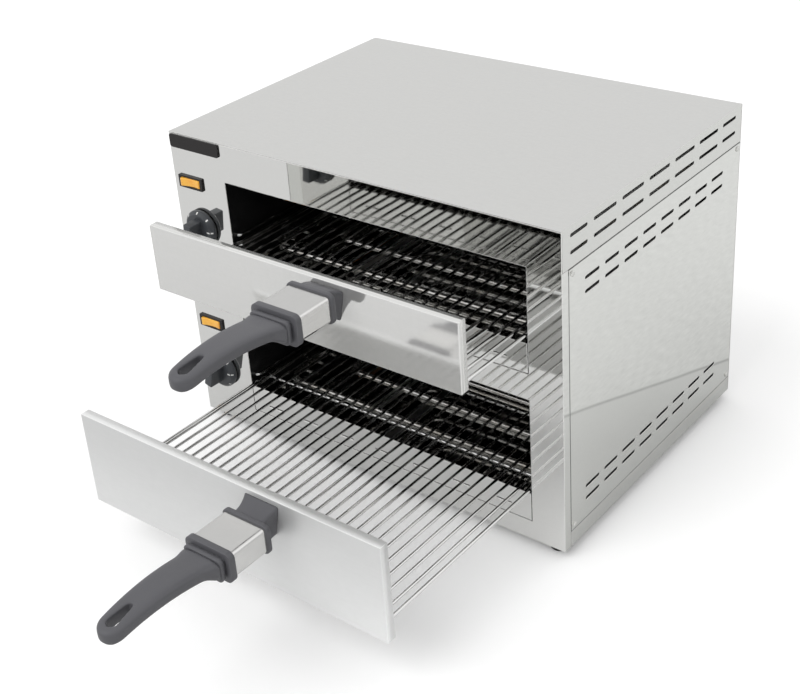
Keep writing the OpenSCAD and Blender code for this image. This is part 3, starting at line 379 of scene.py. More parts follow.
def foot_rubber():
    f = Finish("foot_rubber", (0.022, 0.022, 0.023), 0.72)
    f.effect(mottle, Scale=160.0, Amount=0.4, Gloss_Change=0.1)
    grain = f.effect(fine_grain, Scale=1400.0)
    f.bump(grain.outputs["Height"], distance=0.08 * mm)
    return f.done()


def black_liner():
    """Dark coated liner with a bare outer side at the right."""
    bare_depth = 6.6 * mm
    f = Finish("black_liner", (0.012, 0.012, 0.0125), 0.24)
    f.effect(mottle, Scale=34.0, Amount=0.5, Gloss_Change=0.12)
    f.effect(worn_edges, Edge_Colour=(0.10, 0.10, 0.10, 1), Radius=0.6 * mm, Amount=0.4)
    spot = add(f.tree, "SeparateXYZ")
    f.tree.links.new(object_coords(f.tree), spot.inputs[0])
    bare_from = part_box("upper_liner")[1].x - bare_depth
    outside = math_node(f.tree, "GREATER_THAN", spot.outputs["X"], bare_from)
    bare = add(f.tree, "Mix", data_type="RGBA")
    bare.inputs["B"].default_value = (0.72, 0.72, 0.70, 1)
    f.tree.links.new(outside, bare.inputs["Factor"])
    f.tree.links.new(f.colour, bare.inputs["A"])
    f.colour = bare.outputs["Result"]
    grain = f.effect(fine_grain, Scale=700.0)
    f.bump(grain.outputs["Height"], distance=0.12 * mm)
    return f.done()


def heater_tube():
    f = Finish("heater_tube", (0.66, 0.65, 0.62), 0.26, 1.0)
    stain = f.effect(cloudy_tones, Scale=26.0, Detail=3.0, Grain=0.6, Low=0.32, High=0.56,
                     First_Tone=(0.56, 0.53, 0.48, 1), Last_Tone=(0.82, 0.81, 0.79, 1))
    spots = f.effect(mottle, Scale=300.0, Amount=0.12, Gloss_Change=0.12)
    f.tree.links.new(stain.outputs["Tone"], spots.inputs["Colour"])
    return f.done()


def support_steel():
    f = Finish("support_steel", (0.62, 0.62, 0.60), 0.32, 1.0)
    f.effect(mottle, Scale=120.0, Amount=0.2, Gloss_Change=0.15)
    return f.done()


def pale_ceramic():
    f = Finish("pale_ceramic", (0.78, 0.73, 0.64), 0.62)
    f.effect(mottle, Scale=220.0, Amount=0.16, Gloss_Change=0.1)
    grain = f.effect(fine_grain, Scale=1800.0)
    f.bump(grain.outputs["Height"], distance=0.1 * mm)
    return f.done()


def copper_sensor():
    f = Finish("copper_sensor", (0.70, 0.40, 0.25), 0.35, 1.0)
    f.effect(mottle, Scale=120.0, Amount=0.35, Gloss_Change=0.2)
    return f.done()


def switch_black():
    f = Finish("switch_black", (0.014, 0.012, 0.012), 0.36)
    f.shader.inputs["Specular IOR Level"].default_value = 0.3
    f.effect(mottle, Scale=110.0, Amount=0.3, Gloss_Change=0.08)
    f.effect(worn_edges, Edge_Colour=(0.075, 0.07, 0.068, 1), Radius=0.5 * mm, Amount=0.5)
    grain = f.effect(fine_grain, Scale=2200.0)
    f.bump(grain.outputs["Height"], distance=0.02 * mm)
    return f.done()


def thermostat_body():
    f = Finish("thermostat_body", (0.10, 0.10, 0.105), 0.5)
    f.effect(mottle, Scale=150.0, Amount=0.25, Gloss_Change=0.1)
    grain = f.effect(fine_grain, Scale=1500.0)
    f.bump(grain.outputs["Height"], distance=0.05 * mm)
    return f.done()


def knob_black():
    f = Finish("knob_black", (0.046, 0.050, 0.056), 0.40)
    f.effect(mottle, Scale=90.0, Amount=0.25, Gloss_Change=0.08)
    f.effect(worn_edges, Edge_Colour=(0.11, 0.115, 0.125, 1), Radius=0.7 * mm, Amount=0.5)
    grain = f.effect(fine_grain, Scale=2400.0)
    f.bump(grain.outputs["Height"], distance=0.04 * mm)
    return f.done()


def handle_plastic():
    f = Finish("handle_plastic", (0.090, 0.090, 0.099), 0.40)
    f.effect(mottle, Scale=40.0, Amount=0.14, Gloss_Change=0.07)
    f.effect(worn_edges, Edge_Colour=(0.17, 0.17, 0.18, 1), Radius=0.8 * mm, Amount=0.5)
    grain = f.effect(fine_grain, Scale=1900.0)
    f.bump(grain.outputs["Height"], distance=0.06 * mm)
    return f.done()


def rocker_amber():
    f = Finish("rocker_amber", (0.82, 0.40, 0.05), 0.16)
    f.shader.inputs["Emission Strength"].default_value = 0.25
    f.shader.inputs["Coat Weight"].default_value = 0.5
    f.effect(mottle, Scale=180.0, Amount=0.12, Gloss_Change=0.05)
    glow = f.effect(cloudy_tones, Scale=90.0, Detail=1.0, Grain=0.4, Low=0.25, High=0.72,
                    First_Tone=(0.70, 0.22, 0.01, 1), Last_Tone=(1.0, 0.62, 0.06, 1))
    f.tree.links.new(glow.outputs["Tone"], f.shader.inputs["Emission Color"])
    return f.done()


def white_print():
    f = Finish("white_print", (0.80, 0.80, 0.78), 0.5)
    f.effect(mottle, Scale=700.0, Amount=0.25, Gloss_Change=0.1)
    return f.done()


finishes = {make.__name__: make() for make in (
    polished_steel, seamed_side, satin_steel, mirror_front, hazy_front_painted_light, brushed_sleeve, bright_wire,
    screw_steel, foot_rubber, black_liner, heater_tube, support_steel, pale_ceramic, copper_sensor,
    switch_black, thermostat_body, knob_black, handle_plastic, rocker_amber, white_print)}


# CAD nodes: each takes the finish of its slot or its own; blocky ones get soft edges, in millimetres

own_finish = {"side_panel_left": "seamed_side", "side_panel_right": "seamed_side"}
edge_angle, edge_segments = 40, 2
edge_width = {
    "feet": 0.8, "upper_switch": 0.6, "lower_switch": 0.6, "corner_plate": 0.5, "cable_gland": 0.5,
    "heater_bushes": 0.5, "terminal_block": 0.6, "upper_thermostat": 0.6, "lower_thermostat": 0.6,
}


def dress_nodes():
    slot_of = {part["node"]: part["material_slot"] for part in frame["record"]["subparts"]}
    for name, node in nodes.items():
        finish = finishes[own_finish.get(name, slot_of[name])]
        if not node.material_slots:
            node.data.materials.append(finish)
        for holder in node.material_slots:
            holder.material = finish
        if name in edge_width:
            weld = node.modifiers.new("weld", "WELD")
            weld.merge_threshold = weld_gap
            bevel = node.modifiers.new("soft_edges", "BEVEL")
            bevel.width = edge_width[name] * mm
            bevel.segments = edge_segments
            bevel.limit_method = "ANGLE"
            bevel.angle_limit = math.radians(edge_angle)
            bevel.use_clamp_overlap = True
            bevel.harden_normals = True


dress_nodes()


# Mesh helpers


def piece(name, mesh_source, finish, body, stands_for=(), smooth=True):
    """Object that rides on a body and stands for CAD nodes; its slot is its finish."""
    mesh = bpy.data.meshes.new(name)
    bmesh.ops.recalc_face_normals(mesh_source, faces=mesh_source.faces)
    mesh_source.to_mesh(mesh)
    mesh_source.free()
    made = bpy.data.objects.new(name, mesh)
    bpy.context.scene.collection.objects.link(made)
    mesh.materials.append(finishes[finish])
    for face in mesh.polygons:
        face.use_smooth = smooth
    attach(made, body)
    if stands_for:
        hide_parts(*stands_for)
    return made


def bridge(bm, rings, cap_first=True, cap_last=True):
    """Quads between rings of points with the same count."""
    made = [[bm.verts.new(p) for p in ring] for ring in rings]
    count = len(made[0])
    for a, b in zip(made, made[1:]):
        for i in range(count):
            j = (i + 1) % count
            bm.faces.new((a[i], a[j], b[j], b[i]))
    if cap_first:
        bm.faces.new(made[0])
    if cap_last:
        bm.faces.new(list(reversed(made[-1])))


def soft_box_ring(w, h, r, steps=6):
    """Points of a rectangle with rounded corners around the origin."""
    points = []
    for cx, cz, start in ((1, 1, 0), (-1, 1, 90), (-1, -1, 180), (1, -1, 270)):
        for k in range(steps + 1):
            a = math.radians(start + 90 * k / steps)
            points.append((cx * (w / 2 - r) + r * math.cos(a), cz * (h / 2 - r) + r * math.sin(a)))
    return points


def plate(bm, y0, y1, w, h, r, edge):
    """Rounded plate between y0 and y1 with rounded rims, in millimetres around the origin."""
    rings = []
    bend = edge * 0.3
    for y, inset in ((y0, edge), (y0 + bend, bend), (y0 + edge, 0),
                     (y1 - edge, 0), (y1 - bend, bend), (y1, edge)):
        ring = soft_box_ring(w - 2 * inset, h - 2 * inset, r - inset)
        rings.append([Vector((x * mm, y * mm, z * mm)) for x, z in ring])
    bridge(bm, rings)


def place(bm, origin):
    bmesh.ops.translate(bm, verts=bm.verts, vec=origin)


def smooth_step(a, b, x):
    t = min(1.0, max(0.0, (x - a) / (b - a)))
    return t * t * (3 - 2 * t)


# Drawer fronts: folded sheet with a rounded fold all round, in millimetres

fold, fold_steps = 0.7, 5
front_corner, inner_corner, front_wall, rim_depth = 1.0, 0.6, 1.0, 5.0
corner_share = 0.9
front_finish = {"upper": "mirror_front", "lower": "hazy_front_painted_light"}


def drawer_front(level):
    name = level + "_drawer_front"
    low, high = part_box(name)
    w, h = (high.x - low.x) / mm, (high.z - low.z) / mm

    def ring(y, inset, corner):
        outline = soft_box_ring(w - 2 * inset, h - 2 * inset, corner, fold_steps)
        return [Vector((x * mm, y, z * mm)) for x, z in outline]

    rings = []
    for k in range(fold_steps + 1):
        a = math.radians(90 * k / fold_steps)
        inset = fold * (1 - math.sin(a))
        y = low.y + fold * mm * (1 - math.cos(a))
        rings.append(ring(y, inset, front_corner - inset * corner_share))
    rings.append(ring(high.y, 0, front_corner))
    rings.append(ring(high.y, front_wall, inner_corner))
    rings.append(ring(high.y - rim_depth * mm, front_wall, inner_corner))
    bm = bmesh.new()
    bridge(bm, rings, cap_last=False)
    place(bm, Vector(((low.x + high.x) / 2, 0, (low.z + high.z) / 2)))
    piece(level + "_front_shell", bm, front_finish[level], level + "_drawer", [name])


# Handles, in millimetres from the middle of the sleeve's section at the drawer front

standoff, sleeve_length, flange, groove = 20.0, 41.0, 4.5, 2.0
sleeve_w, sleeve_h, sleeve_r, rim = 47.0, 25.0, 4.0, 2.0
flange_edge, seat = 0.7, 2.0
neck_less_w, neck_less_h, neck_less_r, neck_edge, neck_seat = 9.0, 7.0, 1.5, 0.3, 0.5
root_less_w, root_less_h, root_edge = 5.0, 3.0, 0.9

grip_length, tip_w, root_w = 107.0, 26.0, 36.0
grip_crown, grip_arch, grip_thickness = 14.4, 6.4, 12.4
flare_length, flare_side, flare_over, flare_under, flare_power = 18.0, 3.2, 1.6, 4.6, 1.5
blunt_length, blunt_share = 5.0, 0.35
grip_squareness, grip_points, least_half = 4.6, 48, 0.8
station_step, nose_from, nose_step = 2.0, 95.0, 0.75
hole_big, hole_small, hole_gap, hole_bottom, hole_top = 5.25, 3.0, 17.0, -30.0, 40.0
grip_voxel, grip_smoothing = 0.8, 8

bracket_w, bracket_spread, spread_power = 33.0, 6.5, 2.4
bracket_h, height_power, bracket_r, bracket_steps = 30.0, 1.7, 3.0, 14
foot_share = 0.68


def handle_origin(level):
    low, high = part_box(level + "_sleeve")
    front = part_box(level + "_drawer_front")[0]
    return Vector(((low.x + high.x) / 2, front.y, (low.z + high.z) / 2))


def grip_section(u):
    """Half width, top and bottom of the grip at a distance from its root."""
    arc = ((u - grip_length / 2) / (grip_length / 2)) ** 2
    top = grip_crown - grip_arch * arc
    bottom = top - grip_thickness
    nose = grip_length - tip_w / 2
    half = (root_w + (tip_w - root_w) * u / nose) / 2
    flare = (1 - smooth_step(0, flare_length, u)) ** flare_power
    half += flare_side * flare
    bottom -= flare_under * flare
    top += flare_over * flare
    if u > nose:
        half = tip_w / 2 * math.sqrt(max(0.0, 1 - ((u - nose) / (tip_w / 2)) ** 2))
    blunt = grip_length - blunt_length
    if u > blunt:
        shrink = math.sqrt(max(0.0, 1 - ((u - blunt) / blunt_length) ** 2))
        share = blunt_share + (1 - blunt_share) * shrink
        middle, thick = (top + bottom) / 2, (top - bottom) / 2
        top, bottom = middle + thick * share, middle - thick * share
    return half, top, bottom


def grip_body():
    """Grip without its hole: squarish rings, closer together towards the tip."""
    stations = [i * station_step for i in range(int(nose_from / station_step) + 1)]
    stations += [nose_from + i * nose_step for i in range(int((grip_length - nose_from) / nose_step))]
    stations += [grip_length - 0.4, grip_length - 0.1]
    power = 2 / grip_squareness
    rings = []
    for u in stations:
        half, top, bottom = grip_section(u)
        half = max(half, least_half)
        middle, thick = (top + bottom) / 2, (top - bottom) / 2
        ring = []
        for k in range(grip_points):
            a = 2 * math.pi * k / grip_points
            c, s = math.cos(a), math.sin(a)
            x = half * math.copysign(abs(c) ** power, c)
            z = middle + thick * math.copysign(abs(s) ** power, s)
            ring.append(Vector((x * mm, -u * mm, z * mm)))
        rings.append(ring)
    bm = bmesh.new()
    bridge(bm, rings)
    bmesh.ops.recalc_face_normals(bm, faces=bm.faces)
    return bm


def teardrop():
    """Prism of the hanging hole, big end towards the tip."""
    lean = math.asin((hole_big - hole_small) / hole_gap)
    outline = []
    for k in range(25):
        a = math.pi / 2 - lean + (math.pi + 2 * lean) * k / 24
        outline.append((hole_big * math.cos(a), hole_big * math.sin(a)))
    for k in range(17):
        a = -math.pi / 2 + lean + (math.pi - 2 * lean) * k / 16
        outline.append((hole_gap + hole_small * math.cos(a), hole_small * math.sin(a)))
    centre = grip_length - tip_w / 2
    rings = [[Vector((q * mm, (p - centre) * mm, z * mm)) for p, q in outline]
             for z in (hole_bottom, hole_top)]
    bm = bmesh.new()
    bridge(bm, rings)
    bmesh.ops.recalc_face_normals(bm, faces=bm.faces)
    return bm


def loose_object(name, bm):
    mesh = bpy.data.meshes.new(name)
    bm.to_mesh(mesh)
    bm.free()
    made = bpy.data.objects.new(name, mesh)
    bpy.context.scene.collection.objects.link(made)
    return made


def discard(obj):
    mesh = obj.data
    bpy.data.objects.remove(obj)
    bpy.data.meshes.remove(mesh)


def baked_mesh(obj):
    """Mesh of an object with its modifiers applied; the object itself goes."""
    bm = bmesh.new()
    bm.from_object(obj, bpy.context.evaluated_depsgraph_get())
    discard(obj)
    return bm


def carved(solid, tool):
    cut = solid.modifiers.new("cut", "BOOLEAN")
    cut.operation = "DIFFERENCE"
    cut.solver = "EXACT"
    cut.object = tool
    bm = baked_mesh(solid)
    discard(tool)
    return bm


def grip_mesh():
    """Grip with its hole, rounded by remeshing and smoothing."""
    pierced = carved(loose_object("grip_work", grip_body()), loose_object("hole_work", teardrop()))
    obj = loose_object("voxel_work", pierced)
    remesh = obj.modifiers.new("remesh", "REMESH")
    remesh.mode = "VOXEL"
    remesh.voxel_size = grip_voxel * mm
    bm = baked_mesh(obj)
    for _ in range(grip_smoothing):
        bmesh.ops.smooth_vert(bm, verts=bm.verts, factor=0.5,
                              use_axis_x=True, use_axis_y=True, use_axis_z=True)
    return bm


def sleeve_flange(bm, y0, y1):
    """Plastic rim around an end of the sleeve."""
    plate(bm, y0, y1, sleeve_w + 2 * rim, sleeve_h + 2 * rim, sleeve_r + rim, flange_edge)


def grip(level):
    """Grip with the collar that holds the sleeve's outer end."""
    bm = grip_mesh()
    collar = -(standoff + sleeve_length)
    root = collar - 2 * flange - groove
    bmesh.ops.translate(bm, verts=bm.verts, vec=Vector((0, root * mm, 0)))
    sleeve_flange(bm, collar - flange, collar + seat)
    plate(bm, collar - flange - groove - neck_seat, collar - flange + neck_seat,
          sleeve_w - neck_less_w, sleeve_h - neck_less_h, sleeve_r - neck_less_r, neck_edge)
    plate(bm, root, root + flange, sleeve_w - root_less_w, sleeve_h - root_less_h, sleeve_r, root_edge)
    place(bm, handle_origin(level))
    piece(level + "_grip_moulding", bm, "handle_plastic", level + "_drawer", [level + "_grip"])


def bracket(level, rise):
    """Bracket that narrows from the drawer front to the sleeve; rise is its top above the sleeve's axis."""
    neck = standoff - flange + seat
    foot = min(rise - bracket_h, -sleeve_h / 2)
    rings = []
    for k in range(bracket_steps + 1):
        v = k / bracket_steps
        width = bracket_w + bracket_spread * (1 - v) ** spread_power
        top = sleeve_h / 2 + (rise - sleeve_h / 2) * (1 - v) ** height_power
        low = -sleeve_h / 2 + (foot + sleeve_h / 2) * (1 - v) ** height_power
        ring = []
        for x, z in soft_box_ring(width, top - low, bracket_r, 5):
            drawn_in = foot_share + (1 - foot_share) * (z / (top - low) + 0.5)
            x *= drawn_in + (1 - drawn_in) * v
            ring.append(Vector((x * mm, -neck * v * mm, ((top + low) / 2 + z) * mm)))
        rings.append(ring)
    bm = bmesh.new()
    bridge(bm, rings)
    sleeve_flange(bm, -standoff - seat, -standoff - seat + flange)
    place(bm, handle_origin(level))
    piece(level + "_bracket_moulding", bm, "handle_plastic", level + "_drawer", [level + "_bracket"])


# Knobs, in millimetres from the middle of the knob's back

knob_r, knob_skirt, knob_h = 20.0, 7.0, 23.0
knob_facets = 96
wing_w, wing_l, wing_r, wing_root = 10.5, 23.5, 1.2, 3.6
tick_count, tick_first, tick_step, long_tick = 7, -45, 45, 3
tick_half_w, tick_half_l, long_half_l = 0.75, 1.4, 1.9
tick_r, tick_level, long_r = 18.2, 5.3, 14.4
tick_proud, tick_sunk = 0.06, 0.2


def ring_points(radius, height, count):
    return [Vector((radius * math.cos(2 * math.pi * k / count) * mm, -height * mm,
                    radius * math.sin(2 * math.pi * k / count) * mm)) for k in range(count)]


def skirt_profile():
    """Radius and height of the knob's skirt: hollow back, upright rim and sloping shoulder."""
    r, h = knob_r, knob_skirt
    back = [(3.2, 0.6), (r - 1.6, 0.6), (r - 1.2, 0.0), (r - 0.4, 0.0)]
    upright = [(r, 0.5), (r, 2.9), (r - 0.15, 3.45), (r - 0.5, 4.0)]
    shoulder = [(r - 3.0, h - 0.55), (r - 3.5, h - 0.2), (r - 4.1, h - 0.05), (r - 4.8, h), (1.0, h)]
    return back + upright + shoulder


def knob_wing(turn):
    """Raised wing with rounded edges, turned from upright."""
    bm = bmesh.new()
    rings = []
    for h, inset in ((wing_root, 0.0), (knob_skirt, 0.05), (knob_h - 1.1, 0.2), (knob_h - 0.5, 0.45),
                     (knob_h - 0.15, 0.85), (knob_h, 1.4)):
        ring = soft_box_ring(wing_w - 2 * inset, wing_l - 2 * inset, wing_r)
        rings.append([Vector((x * mm, -h * mm, z * mm)) for x, z in ring])
    bridge(bm, rings)
    bmesh.ops.rotate(bm, verts=bm.verts, cent=(0, 0, 0), matrix=Matrix.Rotation(math.radians(turn), 3, "Y"))
    return bm


def tick(bm, middle, half_length, half_width, lift):
    """Thin printed bar, sunk a little into the face below it."""
    corners = [middle + lift * tick_proud + half_length * s + half_width * q
               for s, q in ((-1, -1), (1, -1), (1, 1), (-1, 1))]
    base = [bm.verts.new((c - lift * tick_sunk) * mm) for c in corners]
    cover = [bm.verts.new(c * mm) for c in corners]
    bm.faces.new(cover)
    for j in range(4):
        n = (j + 1) % 4
        bm.faces.new((base[j], base[n], cover[n], cover[j]))


def knob_ticks():
    """Ticks on the shoulder, one of them carried on over the face."""
    bm = bmesh.new()
    outward = Vector((0, -1, 0))
    for i in range(tick_count):
        a = math.radians(tick_first + i * tick_step)
        radial = Vector((math.sin(a), 0, math.cos(a)))
        across = Vector((math.cos(a), 0, -math.sin(a))) * tick_half_w
        slope = (outward - radial).normalized()
        middle = radial * tick_r + outward * tick_level
        tick(bm, middle, slope * tick_half_l, across, (radial + outward).normalized())
        if i == long_tick:
            tick(bm, radial * long_r + outward * knob_skirt, radial * long_half_l, across, outward)
    return bm


def knob(level, turn):
    """Dial knob; turn is the wing's angle from upright as stored."""
    low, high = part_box(level + "_knob")
    centre = Vector(((low.x + high.x) / 2, high.y, (low.z + high.z) / 2))
    bm = bmesh.new()
    bridge(bm, [ring_points(r, h, knob_facets) for r, h in skirt_profile()])
    wing = loose_object("wing_work", knob_wing(turn))
    bm.from_mesh(wing.data)
    discard(wing)
    place(bm, centre)
    piece(level + "_dial_knob", bm, "knob_black", level + "_dial", [level + "_knob"])
    ticks = knob_ticks()
    place(ticks, centre)
    piece(level + "_dial_ticks", ticks, "white_print", level + "_dial", smooth=False)


# Rockers: dipped buttons with rounded rims, in millimetres from the pivot

rocker_l, rocker_h, rocker_steps = 24.0, 8.4, 24
rocker_out, rocker_dip, rocker_back = 4.1, 1.8, 2.5
rocker_r, end_round, end_share, round_steps = 0.8, 0.9, 12, 5
pivot_depth, rocker_tilt = 1.5, 6


def rocker_section(t):
    """Depth and height of the points around the button at a share of its half length."""
    out = -rocker_out + rocker_dip * (1 - t * t)
    end = min(1.0, (1 - abs(t)) * end_share)
    face = out + end_round * (1 - math.sqrt(max(0.0, 1 - (1 - end) ** 2)))
    half = rocker_h / 2
    section = []
    for side, start in ((1, 90), (-1, 180)):
        for q in range(round_steps + 1):
            a = math.radians(start + 90 * q / round_steps)
            depth = face + rocker_r + rocker_r * math.cos(a)
            section.append((depth, side * (half - rocker_r) + rocker_r * math.sin(a)))
    return section + [(rocker_back, -half), (rocker_back, half)]


def rocker(level):
    low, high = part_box(level + "_rocker")
    switch_low, switch_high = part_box(level + "_switch")
    pivot_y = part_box("front_panel")[0].y + pivot_depth * mm
    rings = []
    for k in range(rocker_steps + 1):
        t = -1 + 2 * k / rocker_steps
        rings.append([Vector((t * rocker_l / 2 * mm, y * mm, z * mm)) for y, z in rocker_section(t)])
    bm = bmesh.new()
    bridge(bm, rings)
    place(bm, Vector((0, -pivot_depth * mm, 0)))
    tilt = Matrix.Rotation(math.radians(rocker_tilt), 3, "Z")
    bmesh.ops.rotate(bm, verts=bm.verts, cent=(0, 0, 0), matrix=tilt)
    place(bm, Vector(((switch_low.x + switch_high.x) / 2, pivot_y, (low.z + high.z) / 2)))
    piece(level + "_rocker_button", bm, "rocker_amber", level + "_button", [level + "_rocker"])


# Screws with cross recesses, in millimetres from the face under the head

head_h, head_r, shank_r, shank_l, screw_facets = 1.8, 2.7, 1.5, 6.0, 40
cross_w, cross_l, cross_depth, cross_middle = 0.6, 2.8, 1.6, 1.75
screw_turn = 37


def screw_template():
    """Mesh of one screw along Y, its head towards -Y."""
    profile = [(0.05, -shank_l), (shank_r, -shank_l), (shank_r, 0.02), (head_r - 0.2, 0.02), (head_r, 0.2),
               (head_r - 0.05, 0.65), (head_r - 0.3, 1.2), (1.8, 1.6), (0.9, head_h - 0.03), (0.05, head_h)]
    bm = bmesh.new()
    bridge(bm, [ring_points(r, h, screw_facets) for r, h in profile])
    bmesh.ops.recalc_face_normals(bm, faces=bm.faces)
    cross = bmesh.new()
    for w, d in ((cross_w, cross_l), (cross_l, cross_w)):
        bar = bmesh.ops.create_cube(cross, size=1.0)["verts"]
        bmesh.ops.scale(cross, verts=bar, vec=Vector((w * mm, cross_depth * mm, d * mm)))
        bmesh.ops.translate(cross, verts=bar, vec=Vector((0, -cross_middle * mm, 0)))
    head = carved(loose_object("screw_work", bm), loose_object("cross_work", cross))
    mesh = bpy.data.meshes.new("screw_template")
    head.to_mesh(mesh)
    head.free()
    return mesh


def separate_boxes(mesh):
    """Lowest and highest corners of each separate solid in a mesh."""
    work = bmesh.new()
    work.from_mesh(mesh)
    bmesh.ops.remove_doubles(work, verts=work.verts, dist=weld_gap)
    seen, boxes = set(), []
    for vert in work.verts:
        if vert in seen:
            continue
        stack, island = [vert], []
        seen.add(vert)
        while stack:
            here = stack.pop()
            island.append(here.co.copy())
            for edge in here.link_edges:
                other = edge.other_vert(here)
                if other not in seen:
                    seen.add(other)
                    stack.append(other)
        boxes.append(tuple(Vector([pick(p[i] for p in island) for i in range(3)]) for pick in (min, max)))
    work.free()
    return boxes


def case_screws():
    """A screw in place of each solid of the CAD node, those along X at the sides and the rest at the back."""
    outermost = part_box("case_screws")[1].x
    template = screw_template()
    bm = bmesh.new()
    for number, (low, high) in enumerate(separate_boxes(nodes["case_screws"].data)):
        middle, size = (low + high) / 2, high - low
        if size.x > size.y:
            side = 1 if middle.x > 0 else -1
            under_head = Vector((side * (outermost - head_h * mm), middle.y, middle.z))
            facing = 90 * side
        else:
            under_head = Vector((middle.x, high.y - head_h * mm, middle.z))
            facing = 180
        first = len(bm.verts)
        bm.from_mesh(template)
        bm.verts.ensure_lookup_table()
        own = Matrix.Rotation(math.radians(screw_turn * number % 90), 4, "Y")
        spin = Matrix.Rotation(math.radians(facing), 4, "Z")
        bmesh.ops.transform(bm, matrix=Matrix.Translation(under_head) @ spin @ own, verts=bm.verts[first:])
    bpy.data.meshes.remove(template)
    piece("cross_screws", bm, "screw_steel", "case", ["case_screws"], smooth=False)


bracket_rise = {"upper": 6.4, "lower": 19.0}
wing_turn = {"upper": 7, "lower": 15}
for level in ("upper", "lower"):
    drawer_front(level)
    grip(level)
    bracket(level, bracket_rise[level])
    knob(level, wing_turn[level])
    rocker(level)
case_screws()


# Floor, light and camera

floor_size = 6.0
floor_white, floor_bounce, floor_lift = 0.93, 0.55, 0.1
sight_slope, sight_scale, sight_edge = 2.084, 0.492, 0.986
right_tones = ((0.40, 0.64), (0.4775, 0.67), (0.4790, 0.42), (0.4815, 0.46), (0.4830, 0.72))
right_tint = (0.99, 1.0, 0.985)
grain_stretch, grain_amount = (420.0, 60.0, 1.0), 0.35
left_from, left_to, left_dark, left_pale, left_slant = -0.25, 0.22, 0.66, 0.92, 0.35
front_line = 0.03


def grey(value):
    return (value, value, value, 1)


def right_floor(tree, x, y):
    """Tone that the right side mirrors: two plain zones with a dark line between them, grained beyond it."""
    past_edge = math_node(tree, "ADD", math_node(tree, "MULTIPLY", x, sight_slope), y)
    zones = add(tree, "ValToRGB")
    stops = zones.color_ramp.elements
    for position, tone in right_tones:
        stops.new(position).color = (*(tone * share for share in right_tint), 1)
    stops.remove(stops[0])
    stops.remove(stops[-1])
    tree.links.new(math_node(tree, "MULTIPLY", past_edge, sight_scale), zones.inputs[0])
    stretched = add(tree, "VectorMath", operation="MULTIPLY")
    stretched.inputs[1].default_value = grain_stretch
    tree.links.new(object_coords(tree), stretched.inputs[0])
    speck = math_node(tree, "SUBTRACT", noise(tree, stretched.outputs[0], 1.0, 3.0), 0.5)
    beyond = math_node(tree, "GREATER_THAN", past_edge, sight_edge)
    swing = math_node(tree, "MULTIPLY", math_node(tree, "MULTIPLY", speck, grain_amount), beyond)
    return tinted(tree, zones.outputs[0], math_node(tree, "ADD", swing, 1.0))


def left_floor(tree, x, y):
    """Tone that the fronts mirror: paler towards the right."""
    shade = add(tree, "MapRange", interpolation_type="SMOOTHSTEP")
    set_values(shade, From_Min=left_from, From_Max=left_to, To_Min=left_dark, To_Max=left_pale)
    slant = math_node(tree, "ADD", x, math_node(tree, "MULTIPLY", y, left_slant))
    tree.links.new(slant, shade.inputs["Value"])
    return shade.outputs[0]


def either(tree, factor, a, b):
    """Colour a where the factor is 0 and b where it is 1; each is a colour or a socket."""
    mixed = add(tree, "Mix", data_type="RGBA")
    tree.links.new(factor, mixed.inputs["Factor"])
    for label, value in (("A", a), ("B", b)):
        if isinstance(value, tuple):
            mixed.inputs[label].default_value = value
        else:
            tree.links.new(value, mixed.inputs[label])
    return mixed.outputs["Result"]


def floor():
    """White floor that keeps the shadow; mirrored rays see toned zones instead of white."""
    bm = bmesh.new()
    bmesh.ops.create_grid(bm, x_segments=1, y_segments=1, size=floor_size)
    made = loose_object("studio_floor", bm)
    finish = bpy.data.materials.new("floor_white")
    finish.use_nodes = True
    tree = finish.node_tree
    shader = tree.nodes["Principled BSDF"]
    set_values(shader, Roughness=0.9, Specular_IOR_Level=0.1, Emission_Color=grey(1.0))
    spot = add(tree, "SeparateXYZ")
    tree.links.new(object_coords(tree), spot.inputs[0])
    x, y = spot.outputs["X"], spot.outputs["Y"]
    in_front = math_node(tree, "LESS_THAN", y, front_line)
    toned = either(tree, in_front, right_floor(tree, x, y), left_floor(tree, x, y))
    ray = add(tree, "LightPath")
    unseen = either(tree, ray.outputs["Is Glossy Ray"], grey(floor_bounce), toned)
    colour = either(tree, ray.outputs["Is Camera Ray"], unseen, grey(floor_white))
    tree.links.new(colour, shader.inputs["Base Color"])
    lift = math_node(tree, "MULTIPLY", ray.outputs["Is Camera Ray"], floor_lift)
    tree.links.new(lift, shader.inputs["Emission Strength"])
    made.data.materials.append(finish)


sky_level, sky_rise, mirrored_level = 0.4, 0.75, 0.82
soft_boxes = ((0.61, 0.51, 0.60), (-0.60, -0.61, 0.51))
box_from, box_full, box_glow = 0.90, 0.96, 0.4
sun_energy, sun_angle, sun_turn = 1.1, 40, (38, -18, 0)


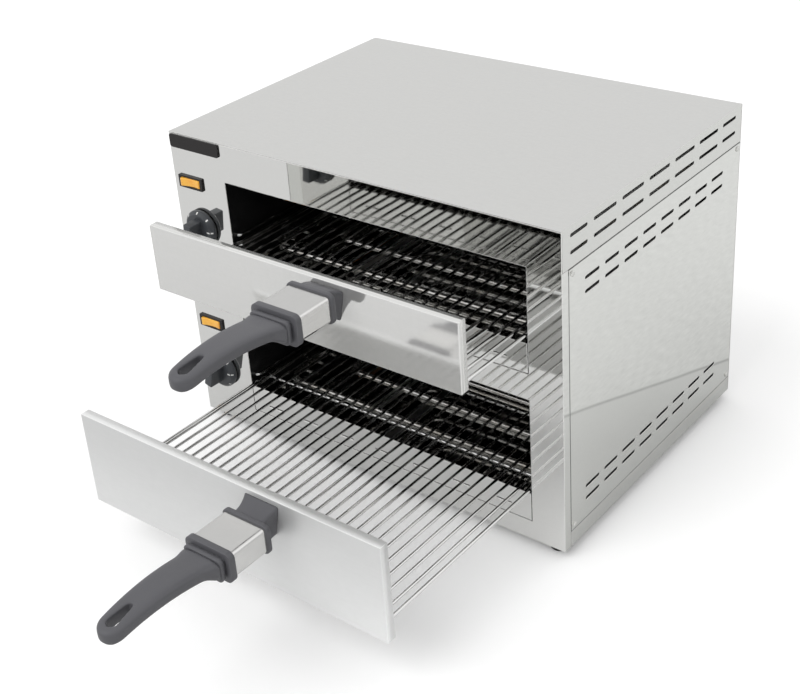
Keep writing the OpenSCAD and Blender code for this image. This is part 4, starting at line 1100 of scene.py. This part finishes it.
def studio_light():
    """Sky brighter overhead and one soft sun; mirrored rays see an even room with two soft boxes."""
    world = bpy.data.worlds.new("studio")
    bpy.context.scene.world = world
    world.use_nodes = True
    tree = world.node_tree
    way = add(tree, "TexCoord").outputs["Generated"]
    rise = add(tree, "SeparateXYZ")
    tree.links.new(way, rise.inputs[0])
    sky = math_node(tree, "ADD", math_node(tree, "MULTIPLY", rise.outputs["Z"], sky_rise), sky_level)
    mirrored = mirrored_level
    for direction in soft_boxes:
        facing = add(tree, "VectorMath", operation="DOT_PRODUCT")
        facing.inputs[1].default_value = Vector(direction).normalized()
        tree.links.new(way, facing.inputs[0])
        glow = add(tree, "MapRange", interpolation_type="SMOOTHSTEP")
        set_values(glow, From_Min=box_from, From_Max=box_full, To_Min=0.0, To_Max=box_glow)
        tree.links.new(facing.outputs["Value"], glow.inputs["Value"])
        mirrored = math_node(tree, "ADD", glow.outputs[0], mirrored)
    ray = add(tree, "LightPath")
    lit = add(tree, "Mix", data_type="FLOAT")
    seen = add(tree, "Mix", data_type="FLOAT")
    glossy, camera = ray.outputs["Is Glossy Ray"], ray.outputs["Is Camera Ray"]
    for mixed, factor, a, b in ((lit, glossy, sky, mirrored), (seen, camera, lit.outputs[0], 1.0)):
        for label, value in (("Factor", factor), ("A", a), ("B", b)):
            feed(tree, mixed.inputs[label], value)
    background = tree.nodes["Background"]
    background.inputs["Color"].default_value = grey(1.0)
    tree.links.new(seen.outputs[0], background.inputs["Strength"])
    sun = bpy.data.lights.new("soft_sun", "SUN")
    sun.energy = sun_energy
    sun.angle = math.radians(sun_angle)
    lamp = bpy.data.objects.new("soft_sun", sun)
    lamp.rotation_euler = [math.radians(v) for v in sun_turn]
    bpy.context.scene.collection.objects.link(lamp)
    lamp.visible_glossy = False


# Camera fitted to the photo: angles in degrees, place in metres with y from the front panel, lens in pixels

view_turn, view_lift, view_roll = 39.9095, 27.4937, -4.2449
view_x, view_y, view_z = 0.77162, -0.85466, 0.82916
picture_w, focal_px, shift_px, sensor_w = 800, 1380.10, -70, 36.0


def photo_camera():
    camera = bpy.data.objects.new("photo_camera", bpy.data.cameras.new("photo_camera"))
    bpy.context.scene.collection.objects.link(camera)
    turn, lift, roll = (math.radians(v) for v in (view_turn, view_lift, view_roll))
    back = Vector((math.sin(turn) * math.cos(lift), -math.cos(turn) * math.cos(lift), math.sin(lift)))
    level_right = Vector((math.cos(turn), math.sin(turn), 0))
    level_up = back.cross(level_right)
    right = math.cos(roll) * level_right + math.sin(roll) * level_up
    up = -math.sin(roll) * level_right + math.cos(roll) * level_up
    spot = Vector((view_x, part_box("front_panel")[0].y + view_y, view_z))
    camera.matrix_world = Matrix((
        (right.x, up.x, back.x, spot.x), (right.y, up.y, back.y, spot.y), (right.z, up.z, back.z, spot.z),
        (0, 0, 0, 1)))
    camera.data.sensor_fit = "HORIZONTAL"
    camera.data.sensor_width = sensor_w
    camera.data.lens = focal_px / picture_w * sensor_w
    camera.data.shift_y = shift_px / picture_w
    camera.data.clip_start = 0.05
    camera.data.clip_end = 50
    bpy.context.scene.camera = camera


floor()
studio_light()
photo_camera()
bpy.context.scene.view_settings.view_transform = "Standard"
